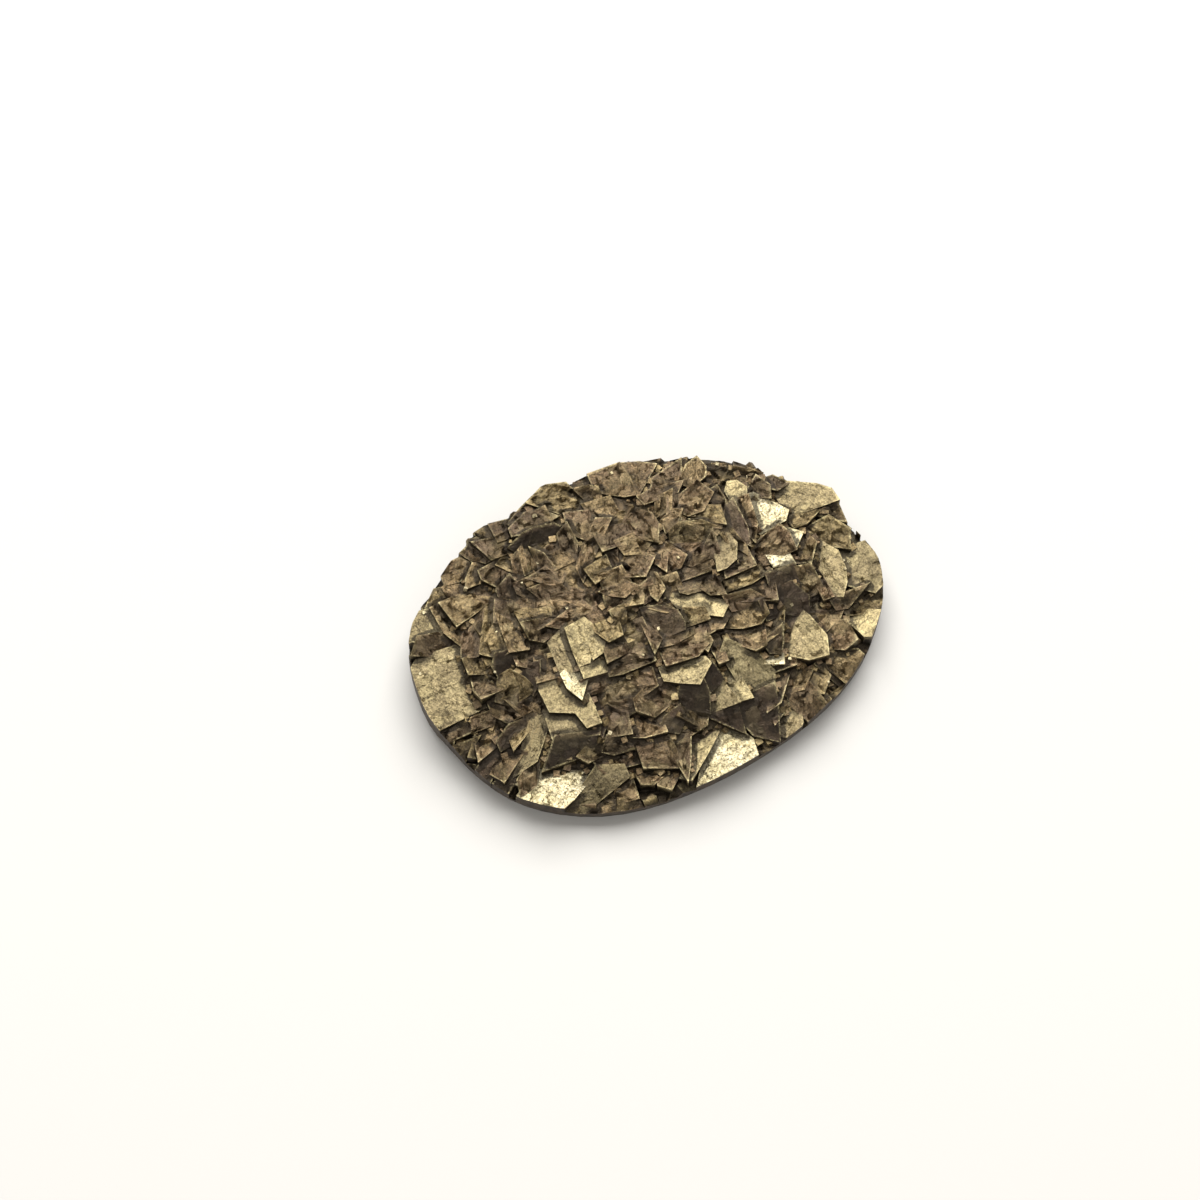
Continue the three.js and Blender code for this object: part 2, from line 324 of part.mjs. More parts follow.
  [0.7, 320, 20, [[12.1, -4.7], [12.8, -4.3], [14.1, -4.0], [14.1, -5.2], [13.2, -5.2], [12.2, -5.0]]],
  [0.9, 60, 7, [[11.9, -5.2], [12.4, -5.1], [13.2, -5.5], [13.3, -6.0], [12.8, -6.7], [11.9, -6.4]]],
  [1.0, 200, 14, [[10.4, -5.7], [11.0, -5.3], [11.7, -5.6], [11.8, -6.8], [11.0, -7.1], [10.1, -6.7]]],
  [1.0, 100, 16, [[9.6, -4.5], [10.1, -4.1], [11.3, -4.4], [11.7, -4.7], [11.4, -5.0], [10.3, -5.5]]],
  [0.9, 275, 30, [[11.6, -3.8], [12.9, -3.6], [12.2, -4.5], [11.7, -4.4]]],
  [0.6, 290, 20, [[9.6, -7.1], [10.9, -7.3], [11.2, -8.0], [10.8, -8.7], [9.8, -8.9], [9.6, -8.0]]],
  [0.9, 100, 18, [[10.4, 0.5], [11.6, 1.1], [11.9, 0.4], [11.2, -0.6], [10.4, -0.4]]],

  // The far side: ridges, picket columns, striated faces and the smooth grey face
  [0.6, 100, 24, [[-5.9, 8.8], [-5.0, 9.4], [-4.0, 9.9], [-3.7, 9.7], [-4.4, 9.0], [-5.8, 8.6]]],
  [0.9, 60, 18, [[-4.1, 9.8], [-3.0, 10.4], [-1.7, 10.1], [-1.1, 8.6], [-1.0, 8.0], [-2.2, 8.1],
    [-3.0, 8.9]]],
  [1.0, 100, 15, [[-6.0, 8.4], [-4.8, 9.0], [-3.9, 8.9], [-3.3, 8.3], [-4.9, 8.0], [-6.0, 8.1]]],
  [0.5, 262, 48, [[-6.4, 7.2], [-5.4, 7.7], [-4.6, 7.8], [-3.4, 7.6], [-3.0, 7.1], [-4.6, 6.9],
    [-6.2, 6.9]]],
  [1.2, 150, 20, [[-6.6, 6.4], [-6.1, 6.7], [-6.3, 5.3], [-6.9, 5.0]]],
  [1.4, 30, 18, [[-6.0, 6.6], [-5.6, 6.5], [-5.6, 5.4], [-6.15, 5.3]]],
  [1.3, 190, 20, [[-5.3, 6.5], [-4.9, 6.0], [-4.6, 5.0], [-5.2, 5.2]]],
  [1.4, 80, 18, [[-8.9, 6.3], [-7.2, 6.6], [-6.9, 6.3], [-7.3, 5.4], [-8.3, 5.2], [-8.9, 5.9]]],
  [1.3, 110, 16, [[-4.9, 6.6], [-4.2, 6.6], [-3.6, 5.9], [-3.3, 5.0], [-4.4, 4.9], [-4.8, 5.5]]],
  [1.4, 200, 22, [[-3.2, 6.9], [-2.7, 7.2], [-2.6, 6.0], [-3.1, 4.9], [-3.4, 5.6]]],
  [1.2, 80, 17, [[-2.3, 8.0], [-1.1, 7.7], [-1.0, 6.3], [-1.7, 6.1], [-2.4, 6.8]]],
  [1.9, 130, 11, [[-0.6, 6.9], [-0.1, 6.7], [-1.5, 5.4], [-2.6, 4.2], [-3.0, 3.4], [-2.9, 4.3],
    [-1.9, 5.6]]],
  [1.5, 60, 18, [[-1.0, 6.0], [0.0, 6.1], [0.9, 5.9], [1.3, 5.3], [0.9, 5.0], [-0.9, 5.0]]],
  [1.0, 95, 13, [[-0.9, 8.2], [0.6, 8.1], [0.7, 7.2], [0.1, 7.0], [-0.4, 7.2], [-0.8, 7.7]]],
  [0.5, 250, 35, [[-0.9, 9.3], [-0.3, 9.3], [0.1, 9.0], [0.1, 8.7], [-0.7, 8.8]]],
  [0.8, 110, 20, [[0.2, 10.1], [2.1, 10.1], [2.3, 9.0], [2.2, 8.0], [1.7, 8.1], [1.2, 8.4], [0.2, 9.0]]],
  [0.8, 60, 22, [[2.4, 10.0], [3.4, 9.7], [4.1, 9.3], [3.2, 8.6], [2.6, 8.0]]],
  [1.4, 105, 17, [[0.7, 7.2], [1.3, 7.2], [2.0, 6.6], [2.7, 6.0], [2.8, 5.3], [2.4, 4.4], [1.9, 4.7],
    [1.3, 5.4], [0.5, 6.2]]],
  [1.7, 75, 10, [[5.6, 7.5], [6.0, 7.9], [6.4, 8.4], [7.0, 8.6], [7.2, 8.0], [7.0, 7.5], [6.0, 7.1]]],
  [1.1, 80, 16, [[4.0, 8.3], [5.3, 8.6], [5.8, 8.8], [5.5, 8.1], [4.9, 7.8], [4.0, 7.9], [3.5, 7.7]]],
  [1.5, 95, 12, [[2.7, 7.4], [3.6, 7.6], [5.2, 7.4], [4.9, 7.1], [2.8, 7.1]]],
  [1.6, 0, 18, [[4.6, 7.05], [4.9, 7.1], [4.5, 6.1], [4.1, 6.0]]],
  [1.3, 150, 18, [[3.6, 6.9], [4.4, 7.0], [4.0, 6.1], [3.3, 6.0]]],
  [1.3, 90, 15, [[4.6, 6.3], [6.4, 7.0], [6.9, 6.1], [6.0, 5.3], [5.1, 5.3], [4.6, 5.8]]],
  [1.7, 60, 4, [[5.3, 5.5], [5.6, 5.75], [6.0, 5.75], [5.9, 5.5], [5.5, 5.35]]],
  [1.4, 120, 18, [[3.4, 4.8], [4.1, 5.1], [4.5, 5.6], [4.2, 5.7], [3.4, 5.3]]],
  [1.5, 140, 14, [[5.2, 5.0], [6.0, 5.3], [7.0, 4.9], [6.9, 4.0], [6.2, 4.4]]],
  [1.7, 60, 9, [[5.0, 4.85], [6.8, 4.05], [6.6, 3.75], [5.7, 4.3]]],
  [0.9, 262, 30, [[3.4, 3.6], [3.6, 4.4], [4.3, 4.7], [5.6, 4.3], [6.2, 3.7], [5.5, 3.4], [4.9, 3.2],
    [3.4, 3.1]]],
  [1.6, 100, 14, [[6.6, 6.0], [7.4, 6.2], [7.5, 5.3], [7.0, 4.4], [6.8, 5.0]]],
  [2.0, 130, 16, [[6.1, 3.4], [6.6, 3.3], [7.0, 2.2], [6.6, 1.3], [5.9, 1.0], [5.6, 1.0], [5.9, 2.2]]],
  [1.6, 195, 22, [[5.3, 2.6], [6.0, 3.4], [5.8, 2.2], [5.4, 1.0], [5.2, 1.5]]],
  [1.5, 85, 13, [[3.8, 3.0], [5.3, 2.9], [5.0, 2.0], [3.9, 1.9], [3.4, 2.4]]],
  [1.9, 150, 14, [[2.2, 2.0], [3.0, 3.5], [3.6, 2.6], [3.1, 2.1]]],
  [1.6, 60, 18, [[1.9, 2.9], [2.9, 3.9], [2.6, 3.2], [2.2, 2.4]]],
  [1.1, 240, 28, [[2.0, 1.5], [2.6, 1.5], [2.6, 0.5], [2.1, 0.6]]],
  [1.6, 20, 20, [[7.0, 3.9], [7.4, 3.0], [7.6, 2.0], [7.5, 1.6], [6.8, 2.6], [6.6, 3.5]]],
  [1.6, 90, 13, [[6.9, 1.6], [7.5, 1.8], [7.6, 0.5], [6.7, 0.5], [5.9, 0.4], [6.0, 0.8]]],
  [1.6, 80, 16, [[2.7, 1.8], [4.9, 1.9], [4.8, 1.2], [2.8, 1.2]]],
  [1.5, 105, 17, [[-0.4, 4.2], [0.9, 3.9], [1.6, 3.2], [0.8, 2.4], [-0.4, 2.8]]],
  [1.6, 70, 16, [[-2.4, 3.9], [-1.2, 4.2], [-1.2, 3.3], [-2.2, 3.1]]],
  [1.5, 250, 20, [[-1.8, 3.1], [-0.5, 3.2], [-0.4, 2.4], [-1.8, 2.4]]],
  [1.6, 55, 18, [[0.1, 5.0], [1.3, 5.1], [2.0, 4.4], [1.2, 3.9], [0.3, 4.2]]],

  // The near left: the bright broad face, the stepped bar and the granular rim
  [0.6, 255, 24, [[-13.0, -3.1], [-11.7, -3.1], [-12.1, -3.7], [-13.2, -3.7]]],
  [0.8, 200, 18, [[-14.3, -2.9], [-13.1, -2.7], [-13.3, -3.6], [-14.1, -3.5]]],
  [0.5, 190, 22, [[-15.9, -2.5], [-15.0, -2.4], [-14.3, -3.2], [-14.5, -4.3], [-15.2, -4.7]]],
  [0.3, 235, 40, [[-14.4, -4.2], [-13.4, -4.4], [-14.0, -5.2], [-14.6, -5.7], [-14.9, -5.1]]],
  [0.5, 300, 30, [[-14.0, -5.3], [-13.4, -4.5], [-13.0, -5.3], [-13.4, -5.7]]],
  [0.5, 215, 9, [[-14.7, -5.9], [-14.0, -5.5], [-13.4, -5.8], [-13.7, -6.6], [-14.2, -7.1]]],
  [1.2, 100, 11, [[-13.2, -4.3], [-12.1, -4.0], [-11.6, -3.8], [-10.5, -4.1], [-12.0, -5.0],
    [-12.8, -5.3]]],
  [0.8, 295, 38, [[-12.0, -5.1], [-11.0, -4.4], [-10.1, -4.4], [-10.0, -4.7], [-11.4, -5.4],
    [-12.0, -5.5]]],
  [1.2, 90, 13, [[-9.9, -4.4], [-9.1, -3.9], [-9.0, -4.1], [-9.9, -4.8], [-11.2, -5.6], [-11.2, -5.3]]],
  [1.2, 215, 18, [[-9.4, -4.4], [-8.9, -4.6], [-9.0, -5.2], [-9.6, -6.0], [-10.4, -7.0], [-11.0, -7.0],
    [-10.2, -5.4]]],
  [0.7, 250, 25, [[-13.2, -6.1], [-12.6, -5.5], [-12.2, -5.8], [-12.6, -6.6], [-12.9, -6.9],
    [-13.3, -6.8]]],
  [0.8, 140, 20, [[-12.0, -5.6], [-11.3, -5.7], [-11.1, -6.3], [-11.9, -7.0], [-12.3, -6.5]]],
  [1.0, 60, 9, [[-12.0, -8.0], [-11.1, -7.3], [-11.0, -7.6], [-11.6, -8.1]]],
  [0.6, 240, 24, [[-12.7, -7.4], [-11.9, -7.1], [-11.6, -7.5], [-12.4, -8.1]]],
  [0.8, 300, 22, [[-11.0, -7.6], [-10.6, -7.2], [-10.4, -7.5], [-10.5, -8.2], [-11.1, -8.3]]],
  [0.3, 225, 18, [[-12.1, -8.9], [-11.5, -8.7], [-11.0, -9.7], [-11.1, -10.4], [-11.8, -10.0]]],
  [1.0, 65, 4, [[-11.3, -8.55], [-10.3, -8.0], [-8.3, -7.75], [-7.4, -8.0], [-6.85, -9.0],
    [-9.1, -10.3], [-9.8, -10.25], [-10.8, -9.7]]],
  [0.5, 250, 30, [[-8.9, -10.4], [-7.1, -9.5], [-6.8, -9.1], [-5.4, -9.6], [-5.4, -10.2], [-8.5, -10.8]]],
  [0.5, 200, 14, [[-6.9, -10.3], [-5.2, -10.4], [-5.1, -11.0], [-6.8, -10.9]]],
  [0.2, 260, 15, [[-6.9, -11.2], [-5.1, -11.3], [-5.0, -12.2], [-6.9, -12.0]]],
  [0.3, 225, 15, [[-9.3, -10.9], [-7.2, -10.9], [-7.3, -11.8], [-8.2, -11.9], [-9.3, -11.5]]],
  [0.9, 280, 22, [[-6.8, -8.4], [-5.8, -8.5], [-4.9, -8.4], [-4.9, -9.4], [-6.5, -9.4]]],
  [0.9, 270, 32, [[-5.9, -8.1], [-5.4, -7.4], [-4.0, -7.9], [-3.3, -8.1], [-4.2, -8.5], [-5.5, -8.4]]],
  [1.8, 100, 11, [[-4.1, -6.3], [-3.5, -6.3], [-2.5, -7.1], [-2.0, -7.6], [-2.0, -8.1], [-3.2, -8.0],
    [-4.0, -7.7]]],
  [1.6, 180, 18, [[-5.0, -5.1], [-4.6, -5.2], [-3.9, -6.2], [-4.1, -7.4], [-5.1, -7.2], [-5.1, -6.1]]],
  [2.0, 160, 20, [[-4.5, -4.8], [-3.2, -3.8], [-2.0, -3.6], [-1.3, -4.0], [-1.4, -5.0], [-3.0, -5.5],
    [-3.5, -5.6]]],
  [1.6, 300, 26, [[-1.4, -4.9], [-0.5, -5.0], [-0.4, -5.9], [-1.2, -6.6], [-2.1, -6.9], [-2.9, -6.2],
    [-2.8, -5.6]]],
  [1.4, 215, 32, [[-4.4, -5.3], [-3.0, -5.6], [-3.1, -6.1], [-3.6, -6.2]]],
  [1.6, 110, 11, [[-2.0, -7.0], [-0.6, -6.3], [-0.2, -6.4], [-0.6, -6.9], [-1.9, -7.4]]],
  [1.0, 280, 35, [[-1.9, -8.1], [-1.5, -7.5], [-0.6, -7.2], [-0.7, -8.0], [-1.2, -8.5]]],
  [1.2, 190, 11, [[-2.0, -8.8], [-1.8, -8.6], [-0.7, -9.1], [-1.3, -10.6], [-1.6, -10.9], [-1.8, -10.0]]],
  [1.2, 130, 11, [[1.0, -8.9], [1.6, -9.0], [1.0, -9.6], [0.0, -10.5], [-1.6, -11.8], [-1.9, -11.6],
    [-0.6, -10.2]]],
  [0.3, 250, 7, [[1.9, -9.3], [2.2, -9.6], [2.9, -10.9], [2.6, -11.8], [0.5, -12.3], [-1.4, -12.4],
    [-0.1, -10.9], [1.1, -9.8]]],
  [0.9, 260, 20, [[-3.8, -8.4], [-2.1, -8.2], [-1.9, -9.6], [-2.1, -10.7], [-3.9, -10.0]]],
  [0.6, 100, 16, [[-4.6, -10.0], [-3.4, -10.1], [-3.1, -10.9], [-3.9, -11.2], [-4.5, -11.0]]],
  [0.6, 60, 13, [[-3.4, -10.7], [-2.3, -10.8], [-2.3, -11.3], [-3.0, -11.9], [-3.5, -11.5]]],
  [0.7, 120, 18, [[-5.0, -8.6], [-4.0, -8.7], [-3.9, -9.6], [-4.9, -9.5]]],
];

// Neighbouring faces meet along shared edges, so each face moves up or down, at its own tilt,
// until it agrees with the faces whose corners lie within `touch` of its own. `hold` is the pull
// back to the height that its rise gives.
const SETTLE = { touch: 0.9, hold: 0.04, rimHold: 0.3, rounds: 60 };

// How firmly a face keeps its own height: little in the middle, more towards the rim
function grip(plane) {
  const outward = (plane.cx / MASSIF.a) ** 2 + (plane.cy / MASSIF.b) ** 2;
  return SETTLE.hold + SETTLE.rimHold * outward ** 2;
}

// The spots where each face touches others, and which face it touches there
function contacts(outlines) {
  return outlines.map((own, i) => own.flatMap((spot) => outlines.flatMap((other, j) => {
    const near = other.some(([x, y]) => Math.hypot(x - spot[0], y - spot[1]) < SETTLE.touch);
    return i !== j && near ? [{ spot, other: j }] : [];
  })));
}

function settle(planes, outlines) {
  const touching = contacts(outlines);
  const first = planes.map((plane) => plane.z);
  for (let round = 0; round < SETTLE.rounds; round += 1) {
    const steps = planes.map((plane, i) => {
      const gaps = touching[i].map((touch) => (
        heightOn(planes[touch.other], touch.spot) - heightOn(plane, touch.spot)
      ));
      return gaps.reduce((sum, gap) => sum + gap, 0) / Math.max(gaps.length, 1);
    });
    planes.forEach((plane, i) => {
      const held = grip(plane);
      plane.z += (1 - held) * steps[i] / 2 + held * (first[i] - plane.z);
    });
  }
}

// Small tilted blocks fill the gaps between the placed crystals, set out on a jittered grid
// inside an oval of half axes a and b. A block is `narrow` to `wide` times as broad as it is long.
const FILLER = {
  pitch: 3.1,
  smallest: 1.3,
  largest: 2.1,
  narrow: 0.7,
  wide: 1.2,
  sink: 0.95,
  tilt: 35,
  a: 15.4,
  b: 11,
  seed: 20,
};

// Small blocks stand along the rim too, set in from it by a share and lifted from the fillers' level
const FRINGE = { count: 64, inset: 0.05, smallest: 0.9, largest: 1.5, lift: 0.65 };

// A small generator of repeatable values between 0 and 1
function makeDraw(seed) {
  let state = seed;
  return () => {
    state = (state * 1664525 + 1013904223) % 4294967296;
    return state / 4294967296;
  };
}

function fillerCube(x, y, base, size, draw) {
  const breadth = size * (FILLER.narrow + (FILLER.wide - FILLER.narrow) * draw());
  const cube = new THREE.BoxGeometry(size, breadth, 2 * size);
  const tilt = THREE.MathUtils.degToRad(FILLER.tilt);
  cube.rotateZ(Math.PI * draw());
  cube.rotateX(tilt * (2 * draw() - 1));
  cube.rotateY(tilt * (2 * draw() - 1));
  const corners = [];
  const spots = cube.attributes.position;
  for (let i = 0; i < spots.count; i += 1) {
    corners.push(new THREE.Vector3().fromBufferAttribute(spots, i));
  }
  const lift = base - FILLER.sink - size / 2;
  corners.forEach((p) => p.add(new THREE.Vector3(x, y, lift)));
  const root = corners.map((p) => new THREE.Vector3(p.x, p.y, ROOT));
  return solidFrom(new ConvexGeometry([...corners, ...root]));
}

function fillers() {
  const draw = makeDraw(FILLER.seed);
  const cubes = [];
  for (let x = -FILLER.a; x <= FILLER.a; x += FILLER.pitch) {
    for (let y = -FILLER.b; y <= FILLER.b; y += FILLER.pitch) {
      const px = x + FILLER.pitch * (draw() - 0.5);
      const py = y + FILLER.pitch * (draw() - 0.5);
      const size = FILLER.smallest + (FILLER.largest - FILLER.smallest) * draw();
      if ((px / FILLER.a) ** 2 + (py / FILLER.b) ** 2 < 1) {
        cubes.push(fillerCube(px, py, massifHeight(px, py), size, draw));
      }
    }
  }
  const loop = rimLoop();
  for (let i = 0; i < FRINGE.count; i += 1) {
    const spot = loop.getPointAt((i + draw()) / FRINGE.count);
    const base = massifHeight(spot.x, spot.y) + FRINGE.lift;
    const size = FRINGE.smallest + (FRINGE.largest - FRINGE.smallest) * draw();
    const inset = 1 - FRINGE.inset;
    cubes.push(fillerCube(inset * spot.x, inset * spot.y, base, size, draw));
  }
  return cubes;
}

// Joins everything, grinds it to the oval and centres it on its own middle
function stone() {
  const planes = FACES.map((entry) => facePlane(...entry.slice(0, 4)));
  settle(planes, FACES.map((entry) => entry[3]));
  const crust = FACES.flatMap((entry, i) => (
    entry.slice(3).map((corners) => crystal(planes[i], corners))
  ));
  const whole = wasm.Manifold.union([massif(), ...crust, ...fillers()]).intersect(ovalBlank());
  const box = whole.boundingBox();
  const centred = whole.translate([
    -(box.min[0] + box.max[0]) / 2,
    -(box.min[1] + box.max[1]) / 2,
    -box.min[2],
  ]);
  const mesh = centred.getMesh();
  const geometry = new THREE.BufferGeometry();
  geometry.setAttribute('position', new THREE.BufferAttribute(new Float32Array(mesh.vertProperties), 3));
  geometry.setIndex(new THREE.BufferAttribute(new Uint32Array(mesh.triVerts), 1));
  geometry.computeVertexNormals();
  return geometry;
}

const pyrite = new THREE.Mesh(
  stone(),
  new THREE.MeshStandardMaterial({ color: COLOR, roughness: 0.45, metalness: 0.9 }),
);
pyrite.name = 'pyrite_druse';

const group = new THREE.Group();
group.add(pyrite);

export default group;
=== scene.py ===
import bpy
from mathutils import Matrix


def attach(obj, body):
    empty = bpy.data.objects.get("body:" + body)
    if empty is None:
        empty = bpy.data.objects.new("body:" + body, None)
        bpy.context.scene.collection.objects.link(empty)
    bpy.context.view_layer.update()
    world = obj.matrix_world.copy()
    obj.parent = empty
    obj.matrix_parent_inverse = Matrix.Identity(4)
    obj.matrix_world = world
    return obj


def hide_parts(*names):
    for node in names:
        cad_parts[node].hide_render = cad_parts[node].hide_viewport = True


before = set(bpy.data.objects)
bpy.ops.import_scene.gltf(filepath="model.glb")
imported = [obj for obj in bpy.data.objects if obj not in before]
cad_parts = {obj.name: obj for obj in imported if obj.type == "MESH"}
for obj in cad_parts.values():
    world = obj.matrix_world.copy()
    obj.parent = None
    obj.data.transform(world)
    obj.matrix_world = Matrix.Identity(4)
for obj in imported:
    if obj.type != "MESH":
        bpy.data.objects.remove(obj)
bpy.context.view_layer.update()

# %% [markdown]
# A pyrite druse is a crust of intergrown iron sulphide crystals. Each crystal is a cube, or a
# part of one, so its faces are flat, and each face lies at its own tilt. The stone is ground to
# an oval round its rim and sawn flat at the back. The tarnish is brown to olive, and a few
# faces send the light straight back and look cream.

import bpy
import numpy as np
from mathutils import Matrix

MM = 0.001
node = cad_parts["pyrite_druse"]
rng = np.random.default_rng(7)


def linear(hex_colour):
    """An sRGB hex colour turned to linear red, green, blue and full opacity."""
    parts = np.array([int(hex_colour[i:i + 2], 16) for i in (1, 3, 5)]) / 255
    low, high = parts / 12.92, ((parts + 0.055) / 1.055) ** 2.4
    return (*np.where(parts <= 0.04045, low, high), 1.0)


# %% [markdown]
# The crystals' true faces are read from the CAD solid. Every face that looks up is drawn onto a
# fine map of heights, which knows for each spot the height and the face it belongs to. A map of
# heights is right here, because the crust has no caves.

# %%
# Read the solid's faces onto a map of heights
STEP = 0.04          # mm between the spots of the map
HALF = (15.8, 11.4)  # mm from the middle to the map's edge
LOOKS_UP = 0.15      # the least upward share in the normal of a face that the map shows
TINY = 1e-6          # square mm, less than this counts as nothing
NORMAL_STEPS, OFFSET_STEPS = 60, 12   # how finely planes are told apart, the second per mm


def solid_of(obj):
    """Vertices in mm and triangles of a CAD node, with the loose triangles joined."""
    mesh = obj.data
    mesh.calc_loop_triangles()
    spots = np.empty(len(mesh.vertices) * 3)
    mesh.vertices.foreach_get("co", spots)
    corners = np.empty(len(mesh.loop_triangles) * 3, dtype=np.int64)
    mesh.loop_triangles.foreach_get("vertices", corners)
    world = np.array(obj.matrix_world)
    spots = (spots.reshape(-1, 3) @ world[:3, :3].T + world[:3, 3]) / MM
    keys, where = np.unique(np.round(spots, 4), axis=0, return_inverse=True)
    return keys, where.reshape(-1)[corners.reshape(-1, 3)]


def face_numbers(normal, offset):
    """One number for all triangles that share a plane, from its rounded normal and offset."""
    keys = np.column_stack([np.round(normal * NORMAL_STEPS), np.round(offset * OFFSET_STEPS)])
    return np.unique(keys, axis=0, return_inverse=True)[1].reshape(-1)


def long_edge(vertices, triangles, faces):
    """For each face, the direction of its longest outer edge seen from above, in radians."""
    ends = np.concatenate([triangles[:, [0, 1]], triangles[:, [1, 2]], triangles[:, [2, 0]]])
    owner = np.tile(faces, 3)
    rows = np.column_stack([owner, np.sort(ends, axis=1)])
    rows, count = np.unique(rows, axis=0, return_counts=True)
    rows = rows[count == 1]
    along = vertices[rows[:, 2]] - vertices[rows[:, 1]]
    length = np.hypot(along[:, 0], along[:, 1])
    order = np.lexsort((length, rows[:, 0]))
    direction = np.zeros(faces.max() + 1)
    direction[rows[order, 0]] = np.arctan2(along[order, 1], along[order, 0])
    return direction


vertices, triangles = solid_of(node)
corner = vertices[triangles]
normal = np.cross(corner[:, 1] - corner[:, 0], corner[:, 2] - corner[:, 0])
size = np.linalg.norm(normal, axis=1)
normal /= np.maximum(size, 1e-12)[:, None]
up = (normal[:, 2] > LOOKS_UP) & (size > TINY)
all_triangles, all_normals, all_corners = triangles, normal, corner
all_planes = face_numbers(normal, (normal * corner[:, 0]).sum(axis=1))
edge_way = long_edge(vertices, triangles, all_planes)
corner, normal, faces = corner[up], normal[up], all_planes[up]

xs = np.arange(-HALF[0], HALF[0] + STEP / 2, STEP)
ys = np.arange(-HALF[1], HALF[1] + STEP / 2, STEP)
height = np.zeros((len(xs), len(ys)))
face = np.full(height.shape, -1)
for points, way, number in zip(corner, normal, faces):
    i0, i1 = np.searchsorted(xs, [points[:, 0].min() - 1e-9, points[:, 0].max() + 1e-9])
    j0, j1 = np.searchsorted(ys, [points[:, 1].min() - 1e-9, points[:, 1].max() + 1e-9])
    if i0 == i1 or j0 == j1:
        continue
    px, py = xs[i0:i1, None], ys[None, j0:j1]
    inside = np.ones((i1 - i0, j1 - j0), dtype=bool)
    for a, b in ((0, 1), (1, 2), (2, 0)):
        ex, ey = points[b, :2] - points[a, :2]
        inside &= ex * (py - points[a, 1]) - ey * (px - points[a, 0]) >= -TINY
    lift = points[0, 2] - (way[0] * (px - points[0, 0]) + way[1] * (py - points[0, 1])) / way[2]
    better = inside & (lift > height[i0:i1, j0:j1])
    height[i0:i1, j0:j1] = np.where(better, lift, height[i0:i1, j0:j1])
    face[i0:i1, j0:j1] = np.where(better, number, face[i0:i1, j0:j1])
print("map", height.shape, "faces", faces.max() + 1, "covered", round(float((face >= 0).mean()), 3))

# %% [markdown]
# Round the rim the map is empty, so the heights just inside are carried outwards. Then each spot
# gets its distance from the edge of its own face. Growth steps follow the edges of a face, so
# this distance is what they are drawn with.

# %%
# Carry the heights past the rim and measure how far each spot is from its face's edge
NEIGHBOURS = [(a, b) for a in (-1, 0, 1) for b in (-1, 0, 1) if (a, b) != (0, 0)]
RIM_CARRY = 14        # rounds in which the heights are carried past the rim
DISTANCE_ROUNDS = 30  # rounds in which the distance from an edge is followed
FARTHEST = 9.0        # mm, stands for a distance that isn't known yet


def shifted(field, a, b):
    """The field moved by a and b spots, with its own border repeated."""
    padded = np.pad(field, 1, mode="edge")
    return padded[1 + a:1 + a + field.shape[0], 1 + b:1 + b + field.shape[1]]


def blur(field, times):
    """The field averaged with its neighbours, in 1-2-1 weights each way, a number of times."""
    for _ in range(times):
        field = (shifted(field, -1, 0) + 2 * field + shifted(field, 1, 0)) / 4
        field = (shifted(field, 0, -1) + 2 * field + shifted(field, 0, 1)) / 4
    return field


for _ in range(RIM_CARRY):
    empty = face < 0
    for a, b in NEIGHBOURS:
        take = empty & (shifted(face, a, b) >= 0) & (face < 0)
        height = np.where(take, shifted(height, a, b), height)
        face = np.where(take, shifted(face, a, b), face)

X, Y = np.meshgrid(xs, ys, indexing="ij")
border = np.zeros(face.shape, dtype=bool)
for a, b in NEIGHBOURS:
    border |= shifted(face, a, b) != face
distance = np.where(border, 0.0, FARTHEST)
for _ in range(DISTANCE_ROUNDS):
    for a, b in NEIGHBOURS:
        distance = np.minimum(distance, shifted(distance, a, b) + STEP * np.hypot(a, b))
face = np.maximum(face, 0)
print("edge distance up to", round(float(distance.max()), 2), "mm")

# %% [markdown]
# Many a pyrite face carries striations along one edge, or steps that follow its outline like
# contour lines. Both are a saw-tooth: a gentle slope, then a sudden step. Each face gets its
# own kind, pitch and depth from a seeded draw, and about half of them stay nearly plain.

# %%
# Striations and growth steps on the faces
count = int(all_planes.max()) + 1
kind = rng.choice(3, size=count, p=[0.42, 0.08, 0.5])   # 0 striated, 1 stepped, 2 nearly plain
pitch = rng.uniform(0.28, 0.7, size=count)
depth = rng.uniform(0.02, 0.055, size=count)
turn = rng.uniform(-0.08, 0.08, size=count)
tone = rng.uniform(0, 1, size=count)
LINE_BEND, STEP_BEND = 0.05, 0.04    # mm that striations and growth steps wander off their course
LUMPS = ((0.012, 0.22, 13), (0.010, 0.11, 14))   # height and width in mm, and seed


def wander(scale, seed):
    """Smooth noise between -1 and 1 on the map, its lumps about scale mm wide."""
    draw = np.random.default_rng(seed)
    nx, ny = int(2 * HALF[0] / scale) + 3, int(2 * HALF[1] / scale) + 3
    knots = draw.uniform(-1, 1, size=(nx, ny))
    u, v = (X + HALF[0]) / scale, (Y + HALF[1]) / scale
    i, j = u.astype(int), v.astype(int)
    fu, fv = u - i, v - j
    fu, fv = fu * fu * (3 - 2 * fu), fv * fv * (3 - 2 * fv)
    low = knots[i, j] * (1 - fu) + knots[i + 1, j] * fu
    high = knots[i, j + 1] * (1 - fu) + knots[i + 1, j + 1] * fu
    return low * (1 - fv) + high * fv


